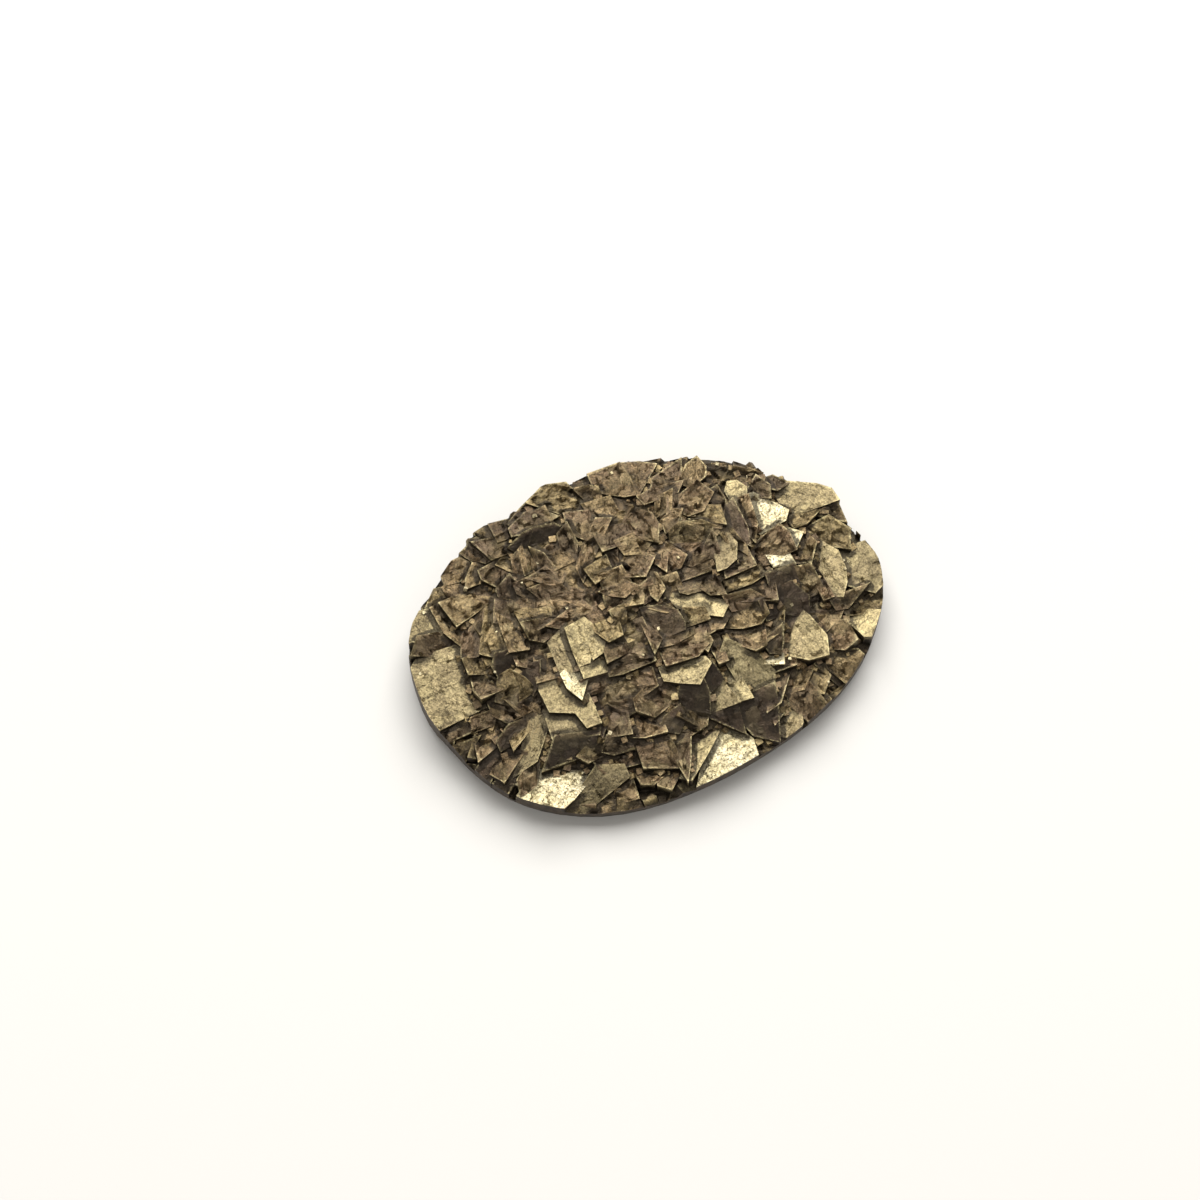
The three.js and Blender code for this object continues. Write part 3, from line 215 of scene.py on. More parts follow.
across = -np.sin(edge_way + turn)[face] * X + np.cos(edge_way + turn)[face] * Y
across = across + LINE_BEND * wander(0.9, 11)
saw_line = np.mod(across / pitch[face], 1)
saw_step = np.mod((distance + STEP_BEND * wander(0.7, 12)) / pitch[face], 1)
detail = np.where(kind[face] == 0, -depth[face] * saw_line, 0)
detail = np.where(kind[face] == 1, depth[face] * saw_step, detail)
for lump_height, lump_width, seed in LUMPS:
    detail = detail + lump_height * wander(lump_width, seed)
print("growth marks from", round(float(detail.min()), 3), "to", round(float(detail.max()), 3), "mm")

# %% [markdown]
# A face grows as a pack of long blocks, side by side along its longest edge. Each block is tilted
# by a few degrees and stands a little above or below its neighbours. Most faces are broken into
# small facets too. Both are flat pieces with a tilt of their own, because crystal faces are flat,
# and a smooth noise would look like clay.

# %%
# Blocks and broken facets
BLOCK_RISE, BLOCK_TILT = 0.06, 0.15    # mm, and the rise per mm across a block
BLOCKY = np.array([1.0, 0.7, 0.55])    # how clearly a striated, stepped or plain face shows them
CHIP_RISE, CHIP_TILT = 0.04, 0.45      # the same two for the broken facets
WEIGHTS = (12.9898, 78.233, 37.719, 4.581)
MULTIPLE = 43758.5453


def scatter(*whole_numbers):
    """A repeatable value between -1 and 1 for each set of whole numbers: the part after the
    point of a large multiple of a sine."""
    mixed = sum(n * k for n, k in zip(whole_numbers, WEIGHTS))
    return 2 * np.mod(np.sin(mixed) * MULTIPLE, 1) - 1


along = np.cos(edge_way + turn)[face] * X + np.sin(edge_way + turn)[face] * Y
breadth = rng.uniform(0.35, 0.9, size=count)[face]
length = rng.uniform(1.0, 2.6, size=count)[face]
row = np.floor(across / breadth)
shove = along / length + scatter(face, row, 1)
block = np.floor(shove)
in_row, in_block = across / breadth - row - 0.5, shove - block - 0.5
blocky = BLOCKY[kind][face]
detail = detail + blocky * (BLOCK_RISE * scatter(face, row, block, 2)
                            + BLOCK_TILT * breadth * in_row * scatter(face, row, block, 3)
                            + 0.5 * BLOCK_TILT * length * in_block * scatter(face, row, block, 4))


def chips(width, seed):
    """Broken facets: each place belongs to the nearest of many jittered spots, about width mm
    apart, and lies on a plane through that spot with a rise and a tilt of its own."""
    draw = np.random.default_rng(seed)
    nx, ny = int(2 * HALF[0] / width) + 4, int(2 * HALF[1] / width) + 4
    offset = draw.uniform(0.1, 0.9, size=(nx, ny, 2))
    lean = draw.uniform(-1, 1, size=(nx, ny, 3))
    u, v = (X + HALF[0]) / width + 1, (Y + HALF[1]) / width + 1
    nearest, surface = np.full(X.shape, 9.0), np.zeros(X.shape)
    for a in (-1, 0, 1):
        for b in (-1, 0, 1):
            i, j = u.astype(int) + a, v.astype(int) + b
            du, dv = u - i - offset[i, j, 0], v - j - offset[i, j, 1]
            closer = np.hypot(du, dv) < nearest
            nearest = np.where(closer, np.hypot(du, dv), nearest)
            tilted = CHIP_TILT * width * (du * lean[i, j, 0] + dv * lean[i, j, 1])
            surface = np.where(closer, tilted + CHIP_RISE * lean[i, j, 2], surface)
    return surface


FINER = 0.6      # share of the smaller facets beside the larger ones
broken = chips(0.85, 21) + FINER * chips(0.45, 22)
print("broken facets from", round(float(broken.min()), 3), "to", round(float(broken.max()), 3), "mm")

# %% [markdown]
# Some faces are painted a colour of their own: cream, light tan, olive or dark. The cream is
# partly the bare metal's pale colour and partly a painted reflection of the key light. The tan and
# olive are partly the tarnish's own tone and partly painted light, where a face mirrors the bright
# room; the dark is partly tarnish and partly painted shade, where a face mirrors the dark room.
# They are named here by a spot on each, as read on a level plane 5 mm up. The spot is slid along
# the camera's line of sight onto the crust, and the whole face under it takes the colour, also
# where a neighbour cuts it in two.

# %%
# Faces with a colour of their own, partly painted light and shade
READING_LEVEL = 5.0
SIGHT = (-0.150, -0.384)       # mm moved along X and Y for each mm of height
CENTRE = (0.231, -0.156)       # where the middle of the stone is, in the readings
CREAM = [(-9.5, -9.0), (0.9, -11.3), (10.0, 3.6), (9.5, 0.3), (-5.9, -2.9),
         (10.9, 1.3), (14.7, -0.6), (6.7, -6.6)]
LIGHT_TAN = [(8.6, 5.6), (2.4, 0.1), (4.3, -2.2), (-4.5, -0.6), (-3.8, -0.9), (5.67, -5.5),
             (0.0, -10.3), (-2.1, -11.9), (12.5, -5.8), (3.3, -7.0), (0.8, -4.9)]
OLIVE = [(-13.8, -0.5), (-7.0, -3.2), (-7.4, -5.4), (-6.0, -1.0), (6.3, 2.2), (12.6, 3.8),
         (12.4, -1.6), (8.9, -5.0), (5.4, -10.4), (3.3, -7.0), (13.8, -2.0), (-9.6, -5.6),
         (-6.0, -10.6), (2.1, -7.3), (-15.2, 1.5), (-13.7, 4.3), (-12.0, -9.7)]
DARK = [(4.8, -6.6), (4.1, -9.2), (0.7, -7.0), (2.1, -6.0), (-8.0, -7.2), (-5.3, -5.0), (9.1, -1.3),
        (9.0, -2.7), (7.6, -2.8), (0.9, -1.2), (-5.0, 7.3), (-1.5, 0.2), (-11.0, -4.9), (-9.6, -0.3),
        (2.2, -8.8), (-12.6, -6.2), (-11.6, -6.3), (-8.7, -2.0), (-1.2, -7.8), (7.5, 3.6)]
GLINTS = [(-9.5, 2.0), (-9.35, 1.6), (-8.7, 2.1), (-10.3, 5.6), (-6.75, 4.6), (-5.3, 5.55),
          (-4.3, 8.75), (-12.7, -2.6), (-15.2, -2.7), (-10.55, -0.5), (-4.7, 1.9), (0.25, -1.6),
          (3.3, 2.6), (4.5, 5.1), (5.6, 5.5), (8.95, -3.1), (13.3, -1.5), (13.6, -1.7), (13.2, -2.1),
          (6.25, -6.65), (7.4, -6.6), (1.25, -5.65), (-1.3, -2.85), (-5.2, -7.1), (-12.0, -8.2),
          (9.1, -9.2), (-13.4, 5.0), (-8.4, 8.3), (-15.1, 1.1), (1.5, 9.8), (5.3, 8.9), (8.2, 7.9),
          (9.8, 6.3)]

FIRST_GUESS, SIGHT_ROUNDS = 3.5, 8   # mm up where the search for a spot starts, and its rounds


def seen(spot):
    """The map's row and column that the camera sees at a spot of the reading level."""
    z = FIRST_GUESS
    for _ in range(SIGHT_ROUNDS):
        x = spot[0] + SIGHT[0] * (z - READING_LEVEL) - CENTRE[0]
        y = spot[1] + SIGHT[1] * (z - READING_LEVEL) - CENTRE[1]
        i = int(np.clip((x + HALF[0]) / STEP, 0, len(xs) - 1))
        j = int(np.clip((y + HALF[1]) / STEP, 0, len(ys) - 1))
        z = 0.5 * z + 0.5 * height[i, j]
    return i, j


FACE_REACH = 3.2     # mm, the furthest that a part of the same face lies from its spot
CALM = 0.4           # share of the growth marks that a face with a colour of its own has
middle_of = all_corners.mean(axis=1)
face_tone_and_light = {}
calm = np.ones(count)
for name, spots in (("cream_and_reflection", CREAM), ("tan", LIGHT_TAN), ("olive", OLIVE), ("dark", DARK)):
    cover = np.zeros(len(all_planes), dtype=bool)
    for i, j in map(seen, spots):
        near = np.hypot(middle_of[:, 0] - xs[i], middle_of[:, 1] - ys[j]) < FACE_REACH
        cover |= up & near & (all_planes == face[i, j])
        calm[face[i, j]] = CALM
    face_tone_and_light[name] = cover
    print(name, "triangles", int(cover.sum()))

# %% [markdown]
# The edges between the crystals are sharp and straight, and a square grid can't follow them all.
# So the skin starts from the solid's own triangles, and only their long sides are halved, round
# after round, until each side is short enough to carry the growth marks. The two triangles at a
# side share its middle point, so the skin stays closed.

# %%
# Halve the long sides of the solid's triangles
WALL_TOP = 1.2       # mm, where the ground rim is widest
SIDE = 0.22          # mm, the longest side left on the crystal faces
WALL_SIDE = 0.6      # mm, the same on the ground wall and the steep sides of the crystals
BACK_SIDE = 3.0      # mm, the same on the sawn back
LEVEL_SLACK = 0.01   # mm, a point this near to a level counts as on it


def halved(points, corners, label):
    """One round: each side over its limit gets a middle point, and each triangle is cut into
    two, three or four by the middle points on its sides."""
    ends = np.sort(corners[:, [0, 1, 1, 2, 2, 0]].reshape(-1, 2), axis=1)
    keys, where = np.unique(ends[:, 0] * len(points) + ends[:, 1], return_inverse=True)
    a, b = points[keys // len(points)], points[keys % len(points)]
    high = np.maximum(a[:, 2], b[:, 2])
    on_face = np.zeros(len(keys), dtype=bool)
    on_face[where.reshape(-1)[np.repeat(up[label], 3)]] = True
    fine = on_face & (high > WALL_TOP + LEVEL_SLACK)
    limit = np.where(high < LEVEL_SLACK, BACK_SIDE, np.where(fine, SIDE, WALL_SIDE))
    over = np.linalg.norm(b - a, axis=1) > limit
    middle = np.where(over, len(points) + np.cumsum(over) - 1, -1)
    cut = middle[where].reshape(-1, 3)
    marked = cut >= 0
    number = marked.sum(axis=1)
    first = np.where(number == 2, np.argmin(marked, axis=1), np.argmax(marked, axis=1))
    order = (first[:, None] + np.arange(3)) % 3
    t, m = np.take_along_axis(corners, order, axis=1), np.take_along_axis(cut, order, axis=1)
    none, one, two, three = (number == k for k in range(4))
    pieces = [(none, t), (one, np.column_stack([t[:, 0], m[:, 0], t[:, 2]])),
              (one, np.column_stack([m[:, 0], t[:, 1], t[:, 2]])),
              (two, np.column_stack([t[:, 0], t[:, 1], m[:, 1]])),
              (two, np.column_stack([t[:, 0], m[:, 1], m[:, 2]])),
              (two, np.column_stack([m[:, 1], t[:, 2], m[:, 2]])),
              (three, np.column_stack([t[:, 0], m[:, 0], m[:, 2]])),
              (three, np.column_stack([m[:, 0], t[:, 1], m[:, 1]])),
              (three, np.column_stack([m[:, 2], m[:, 1], t[:, 2]])),
              (three, m)]
    return (np.concatenate([points, (a[over] + b[over]) / 2]),
            np.concatenate([made[which] for which, made in pieces]),
            np.concatenate([label[which] for which, made in pieces]), bool(over.any()))


points, skin, owner, more = vertices.copy(), all_triangles, np.arange(len(all_triangles)), True
while more:
    points, skin, owner, more = halved(points, skin, owner)
print("skin triangles", len(skin), "points", len(points))

# %% [markdown]
# Each point on the crust now takes the growth marks of its face. The marks fade out at the face's
# edges, which stay where the crystals meet. Points on the steep sides and the rim don't move.

# %%
# Put the growth marks on the skin
FADE = 0.12          # mm from a face's edge over which its marks grow to their full height
TOP_GAP = 0.002      # mm that the highest mark stays under the solid's top


def sample(field, x, y):
    """The field read between its spots, by a weighted mean of the four round x, y."""
    u = np.clip((x + HALF[0]) / STEP, 0, field.shape[0] - 1.001)
    v = np.clip((y + HALF[1]) / STEP, 0, field.shape[1] - 1.001)
    i, j = u.astype(int), v.astype(int)
    fu, fv = u - i, v - j
    return (field[i, j] * (1 - fu) * (1 - fv) + field[i + 1, j] * fu * (1 - fv)
            + field[i, j + 1] * (1 - fu) * fv + field[i + 1, j + 1] * fu * fv)


on_side = np.zeros(len(points), dtype=bool)
on_side[skin[~up[owner]].ravel()] = True
x, y = points[:, 0].copy(), points[:, 1].copy()
fade = np.clip(sample(distance, x, y) / FADE, 0, 1) * ~on_side
shift = fade * sample(calm[face] * (detail + broken), x, y)
points[:, 2] = np.minimum(points[:, 2] + shift, vertices[:, 2].max() - TOP_GAP)
print("moved points", int((fade > 0).sum()), "by up to", round(float(np.abs(shift).max()), 3), "mm")

# %% [markdown]
# Between the large crystals sit many small cubes. They are real cubes, each at a turn of its own
# and sunk a little into the crust. A few of them stand for bright points where the light glints,
# placed where the stone has them, read on a level plane 5 mm up. Their cream colour is a painted
# highlight.

# %%
# Small cubes in the hollows and bright points
LITTLE = 420
SMALLEST, LARGEST = 0.09, 0.24   # mm, half the edge of a small cube
GLINT_SMALLEST, GLINT_LARGEST = 0.06, 0.12   # mm, half the edge of a bright point
TURNS = (0.2, 0.9)               # radians, the least and the greatest turn of a cube
INNER = (15.0, 10.6)             # mm, half axes of the oval that the small cubes lie in
LOWEST_SPOT = 1.3                # mm, they lie higher than this, so none is on the ground wall
LEAST_HOLLOW = 0.03              # mm, the least depth of a hollow that takes a small cube
WIDE_BLUR, NARROW_BLUR = 60, 4   # rounds of blurring, whose difference shows the hollows
SUNK = 0.25                      # share of its half edge by which a cube's middle is sunk
CORNER_REACH = 1.8               # half edges from a cube's middle to past its corners
SHRINK = 0.9995                  # keeps the skin just inside the solid's box
SHARP_ANGLE = 28                 # degrees, edges bent more than this are drawn sharp
signs = np.array([(a, b, c) for a in (-1, 1) for b in (-1, 1) for c in (-1, 1)], dtype=float)
CUBE = np.array([(0, 1, 3), (0, 3, 2), (4, 6, 7), (4, 7, 5), (0, 4, 5), (0, 5, 1),
                 (2, 3, 7), (2, 7, 6), (0, 2, 6), (0, 6, 4), (1, 5, 7), (1, 7, 3)])


def turned_cubes(number):
    """Random rotations, each by up to about 50 degrees about a random axis."""
    axis = rng.normal(size=(number, 3))
    axis /= np.linalg.norm(axis, axis=1)[:, None]
    angle = rng.uniform(*TURNS, size=number)[:, None, None]
    cross = np.zeros((number, 3, 3))
    cross[:, [0, 1, 2], [1, 2, 0]] = -axis[:, [2, 0, 1]]
    cross[:, [1, 2, 0], [0, 1, 2]] = axis[:, [2, 0, 1]]
    return np.eye(3) + np.sin(angle) * cross + (1 - np.cos(angle)) * (cross @ cross)


hollow = blur(height, WIDE_BLUR) - blur(height, NARROW_BLUR)
inner = (X / INNER[0]) ** 2 + (Y / INNER[1]) ** 2 < 1
chance = np.clip(hollow - LEAST_HOLLOW, 0, None) * (height > LOWEST_SPOT) * inner
picks = np.column_stack(np.unravel_index(
    rng.choice(chance.size, size=LITTLE, p=(chance / chance.sum()).ravel()), chance.shape))
glints = np.array([seen(spot) for spot in GLINTS])
picks = np.concatenate([picks, glints])
half_edge = np.concatenate([rng.uniform(SMALLEST, LARGEST, size=LITTLE),
                            rng.uniform(GLINT_SMALLEST, GLINT_LARGEST, size=len(glints))])
spots = np.column_stack([xs[picks[:, 0]], ys[picks[:, 1]], height[picks[:, 0], picks[:, 1]]])
highest_middle = vertices[:, 2].max() - CORNER_REACH * half_edge
spots[:, 2] = np.minimum(spots[:, 2] - SUNK * half_edge, highest_middle)
cubes = spots[:, None] + half_edge[:, None, None] * (signs @ turned_cubes(len(picks)))
cube_faces = (CUBE[None] + 8 * np.arange(len(picks))[:, None, None]).reshape(-1, 3) + len(points)
is_glint = np.repeat(np.arange(len(picks)) >= LITTLE, len(CUBE)).astype(float)
all_points = np.concatenate([points, cubes.reshape(-1, 3)]) * SHRINK
all_faces = np.concatenate([skin, cube_faces])
print("small cubes", len(picks), "bright points", len(glints), "triangles in all", len(all_faces))

mesh = bpy.data.meshes.new("pyrite crust")
mesh.from_pydata((all_points * MM).tolist(), [], all_faces.tolist())
mesh.shade_smooth()
mesh.set_sharp_from_angle(angle=np.radians(SHARP_ANGLE))
stone = bpy.data.objects.new("pyrite_stone", mesh)
bpy.context.scene.collection.objects.link(stone)

# %% [markdown]
# The surface colour needs to know more about each place. Painted shade is laid at the foot of
# each step and in the hollows, and a painted highlight on the raised places, so a point is
# compared with the crust close round it. Tone and the colours of the named faces belong to a
# whole face, so they are stored for the corners of its triangles and change sharply at its edge.

# %%
# Give the skin what the surface colour needs, painted shade and highlights among it
MARK_SHARE = 0.75    # share of the growth marks left out when a place is compared with the crust
FOOT_REACH, FOOT_FULL = 3, 0.3      # rounds of three spots, and the mm above a place that count in full
CAVITY_BLUR, CAVITY_FULL = 30, 0.45
RIDGE_BLUR, RIDGE_LEAST, RIDGE_FULL = 8, 0.02, 0.12
RULED = np.array([0.5, 0.35, 0.25])  # how clearly a striated, stepped or plain face is lined
SIDE_RULED = 0.5                     # the same for the steep sides
GLINT_SHARE = 0.75                   # how far a bright point takes the cream colour, a painted highlight


def highest(field, times):
    """The greatest value round each spot. Each round reaches about three spots further."""
    for _ in range(times):
        for a, b in NEIGHBOURS:
            field = np.maximum(field, shifted(field, a, b))
    return field


def give(name, values, domain="POINT"):
    """Stores one number for each point or each corner of a triangle."""
    store = mesh.attributes.new(name, "FLOAT", domain)
    store.data.foreach_set("value", np.ascontiguousarray(values, dtype=np.float32).ravel())


def for_cubes(values, rest=0.0):
    """The values of the skin's points, with one value for all points of the small cubes."""
    return np.concatenate([values, np.full(8 * len(picks), rest)])


z = points[:, 2] - MARK_SHARE * shift
# Painted shade at the foot of each step: how far the crust close round a place stands above it
step_foot_shade = sample(highest(height, FOOT_REACH), x, y) - z
give("step_foot_shade", for_cubes(np.clip(step_foot_shade / FOOT_FULL, 0, 1), 0.1))
# How far a place stands above the crust close round it, for a painted highlight on upper edges
ridge = z - sample(blur(height, RIDGE_BLUR), x, y)
give("ridge", for_cubes(np.clip((ridge - RIDGE_LEAST) / RIDGE_FULL, 0, 1), 0.3))
# Painted shade in the hollows, and a painted highlight where a place stands above the crust round it
hollow_shade_and_highlight = sample(blur(height, CAVITY_BLUR), x, y) - z
give("hollow_shade_and_highlight", for_cubes(np.clip(hollow_shade_and_highlight / CAVITY_FULL, -1, 1), 0.0))

# Each face starts its lines at a place of its own
flat_side = ~up[owner]
plane_number = all_planes[owner]
cx, cy, cz = points[skin][..., 0], points[skin][..., 1], points[skin][..., 2]
direction = (edge_way + turn)[plane_number][:, None]
lined = -np.sin(direction) * cx + np.cos(direction) * cy
lined = lined + 0.10 * sample(wander(1.1, 16), cx, cy) + 0.04 * sample(wander(0.4, 17), cx, cy)
nested = 1.3 * sample(distance, cx, cy)
growth = np.where(kind[plane_number][:, None] == 0, lined, nested)
growth = np.where(flat_side[:, None], cz, growth) + np.mod(3.7 * plane_number, 41)[:, None]
ruled = RULED[kind[plane_number]]
ruled = np.where(flat_side, SIDE_RULED, ruled * calm[plane_number])[:, None]
ruled = ruled * (0.6 + 0.4 * sample(wander(1.3, 18), cx, cy))


def for_corners(values, cube_values):
    """Values for the corners of the skin's triangles, then one for each small cube's triangle."""
    on_cubes = np.repeat(np.broadcast_to(cube_values, len(cube_faces)), 3).reshape(-1, 3)
    return np.concatenate([np.broadcast_to(values, skin.shape), on_cubes])


give("growth", for_corners(growth, 0.0), "CORNER")
give("ruled", for_corners(ruled, 0.0), "CORNER")
cube_tone = np.repeat(rng.uniform(0, 1, size=len(picks)), len(CUBE))
give("tone", for_corners(tone[plane_number][:, None], cube_tone), "CORNER")
# The named faces' colours; the bright points also take the cream colour as a painted highlight
for name, patches in face_tone_and_light.items():
    cover = patches[owner].astype(float)[:, None]
    give(name, for_corners(cover, GLINT_SHARE * is_glint if name == "cream_and_reflection" else 0.0), "CORNER")

# %% [markdown]
# Under the tarnish the stone shines like metal, so its colour tints what it mirrors. The tarnish
# film is brown to olive and takes the sharpness out of the reflection. Hollows are painted darker,
# as painted shade.

# %%
# Small functions that add nodes
def add(tree, kind_name, links=None, **settings):
    """Adds a node, sets its properties, and fills its inputs with values or links."""
    made = tree.nodes.new(kind_name)
    for key, value in settings.items():
        setattr(made, key, value)
    for key, value in (links or {}).items():
        if isinstance(value, bpy.types.NodeSocket):
            tree.links.new(value, made.inputs[key])
        else:
            made.inputs[key].default_value = value
    return made


def number(tree, name):
    """A stored number, found by its name, as a socket."""
    return add(tree, "ShaderNodeAttribute", attribute_name=name).outputs["Fac"]


def mix(tree, share, first, second, blend="MIX"):
    """Two colours mixed by share."""
    made = add(tree, "ShaderNodeMix", {0: share, 6: first, 7: second}, data_type="RGBA",
               blend_type=blend)
    return made.outputs[2]


def ramp(tree, value, low, high, out_low=0.0, out_high=1.0):
    """A value carried from the span low to high onto another span, and held at its ends."""
    made = add(tree, "ShaderNodeMapRange", {0: value, 1: low, 2: high, 3: out_low, 4: out_high})
    return made.outputs[0]


# %% [markdown]
# The film is laid on in layers. First each face gets its own brown or olive, then come cloudy
# patches and grain, then the colours of the named faces, which are partly painted light and shade.

# %%
# The film on each face
pyrite = bpy.data.materials.new("tarnished pyrite")
pyrite.use_nodes = True
tree = pyrite.node_tree
tree.nodes.clear()
where = add(tree, "ShaderNodeTexCoord").outputs["Object"]
# Cloudy tarnish about 2 mm across, and grain about 0.15 mm across
cloud = add(tree, "ShaderNodeTexNoise", {"Vector": where, "Scale": 500.0, "Detail": 4.0})
grain = add(tree, "ShaderNodeTexNoise", {"Vector": where, "Scale": 6500.0, "Detail": 3.0})
brown, olive = linear("#846c51"), linear("#96825b")
# Striations finer than the skin's triangles, about 0.2 mm apart, with finer ones between them
strands = add(tree, "ShaderNodeTexNoise", {"W": number(tree, "growth"), "Scale": 5.0,
                                           "Detail": 3.0, "Roughness": 0.6},
              noise_dimensions="1D")
# Pits and crumbs about 0.1 mm across
crumbs = add(tree, "ShaderNodeTexVoronoi", {"Vector": where, "Scale": 9000.0})
film = mix(tree, ramp(tree, number(tree, "tone"), 0.1, 0.5), linear("#5e4d3d"), brown)
film = mix(tree, ramp(tree, number(tree, "tone"), 0.55, 0.9), film, olive)
film = mix(tree, ramp(tree, cloud.outputs["Fac"], 0.4, 0.7, 0.0, 0.4), film, linear("#8a794f"))
film = mix(tree, ramp(tree, grain.outputs["Fac"], 0.35, 0.7, 0.5, 0.0), film, linear("#50452f"))
# The named faces: olive and tan partly painted light, dark partly painted shade
film = mix(tree, ramp(tree, number(tree, "olive"), 0.0, 1.0, 0.0, 0.8), film, linear("#918360"))
film = mix(tree, ramp(tree, number(tree, "dark"), 0.0, 1.0, 0.0, 0.85), film, linear("#4f4033"))
film = mix(tree, ramp(tree, number(tree, "tan"), 0.0, 1.0, 0.0, 0.85), film, linear("#a89970"))

# %% [markdown]
# Then come thin dark and light growth lines, scuffs and etch marks, and cracks. They differ much
# from the face in tone but are very narrow, so they are drawn in colour and only bumped a little.

# %%
# Growth lines, marks and cracks
ruled = number(tree, "ruled")
thin_dark = add(tree, "ShaderNodeMath", {0: ramp(tree, strands.outputs["Fac"], 0.48, 0.36, 0.0, 0.8),
                                         1: ruled}, operation="MULTIPLY")
thin_light = add(tree, "ShaderNodeMath", {0: ramp(tree, strands.outputs["Fac"], 0.6, 0.72, 0.0, 0.35),
                                          1: ruled}, operation="MULTIPLY")
film = mix(tree, thin_dark.outputs[0], film, linear("#2e261c"))
film = mix(tree, thin_light.outputs[0], film, linear("#a39772"))
# Scuffs and etch marks about 0.4 mm long, bent by a slow noise
marks = add(tree, "ShaderNodeTexNoise", {"Vector": where, "Scale": 2600.0, "Detail": 5.0,
                                         "Roughness": 0.7, "Distortion": 1.6})
film = mix(tree, ramp(tree, marks.outputs["Fac"], 0.46, 0.36, 0.0, 0.5), film, linear("#2a2219"))
film = mix(tree, ramp(tree, marks.outputs["Fac"], 0.58, 0.7, 0.0, 0.35), film, linear("#9c9070"))
film = mix(tree, ramp(tree, crumbs.outputs["Distance"], 0.5, 0.75, 0.0, 0.5), film,
           linear("#2a231a"))
# Broken edges and cracks, thin and dark, in cells about 0.9 mm wide that the marks bend
bend = add(tree, "ShaderNodeVectorMath", {0: marks.outputs["Color"], 1: (0.0009,) * 3},
           operation="MULTIPLY")
bent = add(tree, "ShaderNodeVectorMath", {0: where, 1: bend.outputs[0]}, operation="ADD")
cracks = add(tree, "ShaderNodeTexVoronoi", {"Vector": bent.outputs[0], "Scale": 1100.0},
             feature="DISTANCE_TO_EDGE")
pieces = add(tree, "ShaderNodeTexVoronoi", {"Vector": bent.outputs[0], "Scale": 1100.0})
piece_tone = add(tree, "ShaderNodeSeparateColor", {"Color": pieces.outputs["Color"]}).outputs[0]
film = mix(tree, ramp(tree, piece_tone, 0.0, 0.4, 0.25, 0.0), film, linear("#352a1f"))
film = mix(tree, ramp(tree, piece_tone, 0.6, 1.0, 0.0, 0.2), film, linear("#a2966c"))
crack_line = ramp(tree, cracks.outputs["Distance"], 0.0, 0.06, 0.8, 0.0)
crack_place = ramp(tree, cloud.outputs["Fac"], 0.4, 0.6)
crack_share = add(tree, "ShaderNodeMath", {0: crack_line, 1: crack_place}, operation="MULTIPLY")
film = mix(tree, crack_share.outputs[0], film, linear("#241d14"))

# %% [markdown]
# A cream face is partly the bare metal's own pale colour and partly a painted reflection of the
# key light, which such a face sends straight back. It isn't plain: it is mottled, with broken olive
# veins and dark specks. The veins are the edges of small cells, and the specks are the corners of
# still smaller ones.

# %%
# The cream faces, partly painted reflection
veins = add(tree, "ShaderNodeTexVoronoi", {"Vector": bent.outputs[0], "Scale": 1900.0},
            feature="DISTANCE_TO_EDGE")
cream_and_reflection = mix(tree, ramp(tree, cloud.outputs["Fac"], 0.3, 0.7), linear("#ab9f7a"),
            linear("#cdc2a2"))
cream_and_reflection = mix(tree, ramp(tree, marks.outputs["Fac"], 0.5, 0.38, 0.0, 0.9), cream_and_reflection, linear("#8a7d56"))
vein_share = add(tree, "ShaderNodeMath", {0: ramp(tree, veins.outputs["Distance"], 0.0, 0.09, 0.9, 0.0),
                                          1: ramp(tree, grain.outputs["Fac"], 0.4, 0.6)},
                 operation="MULTIPLY")
cream_and_reflection = mix(tree, vein_share.outputs[0], cream_and_reflection, linear("#4f452c"))
cream_and_reflection = mix(tree, ramp(tree, crumbs.outputs["Distance"], 0.62, 0.8, 0.0, 0.8), cream_and_reflection,
            linear("#3a3120"))
# The cream colour, partly a painted reflection, is laid on the named faces and the bright points
film = mix(tree, number(tree, "cream_and_reflection"), film, cream_and_reflection)

# %% [markdown]
# Last come the painted shade at the foot of each step and in the hollows, and the painted
# highlights on the raised places and on some upper edges. The surface is only partly mirror-like,
# because the film scatters the light. A fine unevenness breaks the gloss up, and it is too fine to
# be made as real shape.

# %%
# Painted shade, painted highlights and gloss
# Painted shade at the foot of each step
film = mix(tree, ramp(tree, number(tree, "step_foot_shade"), 0.1, 0.8, 0.0, 0.85), film, linear("#1d1811"))
# Painted shade in the hollows
film = mix(tree, ramp(tree, number(tree, "hollow_shade_and_highlight"), 0.1, 0.9, 0.0, 0.7), film, linear("#1f190f"))
# Painted highlight on the raised places
film = mix(tree, ramp(tree, number(tree, "hollow_shade_and_highlight"), -0.2, -0.9, 0.0, 0.25), film, linear("#8d8160"))
# Here and there an upper edge gets a thin pale line, a painted highlight
edge_highlight = add(tree, "ShaderNodeMath", {0: ramp(tree, number(tree, "ridge"), 0.3, 1.0, 0.0, 0.6),
                                      1: ramp(tree, marks.outputs["Fac"], 0.46, 0.6)},
             operation="MULTIPLY")
film = mix(tree, edge_highlight.outputs[0], film, linear("#b3a67c"))
lines = add(tree, "ShaderNodeBump", {"Height": strands.outputs["Fac"], "Strength": ruled,
                                    "Distance": 0.00012})
etched = add(tree, "ShaderNodeBump", {"Height": marks.outputs["Fac"], "Strength": 0.7,
                                     "Distance": 0.00012, "Normal": lines.outputs[0]})
bump = add(tree, "ShaderNodeBump", {"Height": grain.outputs["Fac"], "Strength": 0.5,
                                   "Distance": 0.00005, "Normal": etched.outputs[0]})
rough = ramp(tree, cloud.outputs["Fac"], 0.3, 0.7, 0.42, 0.55)
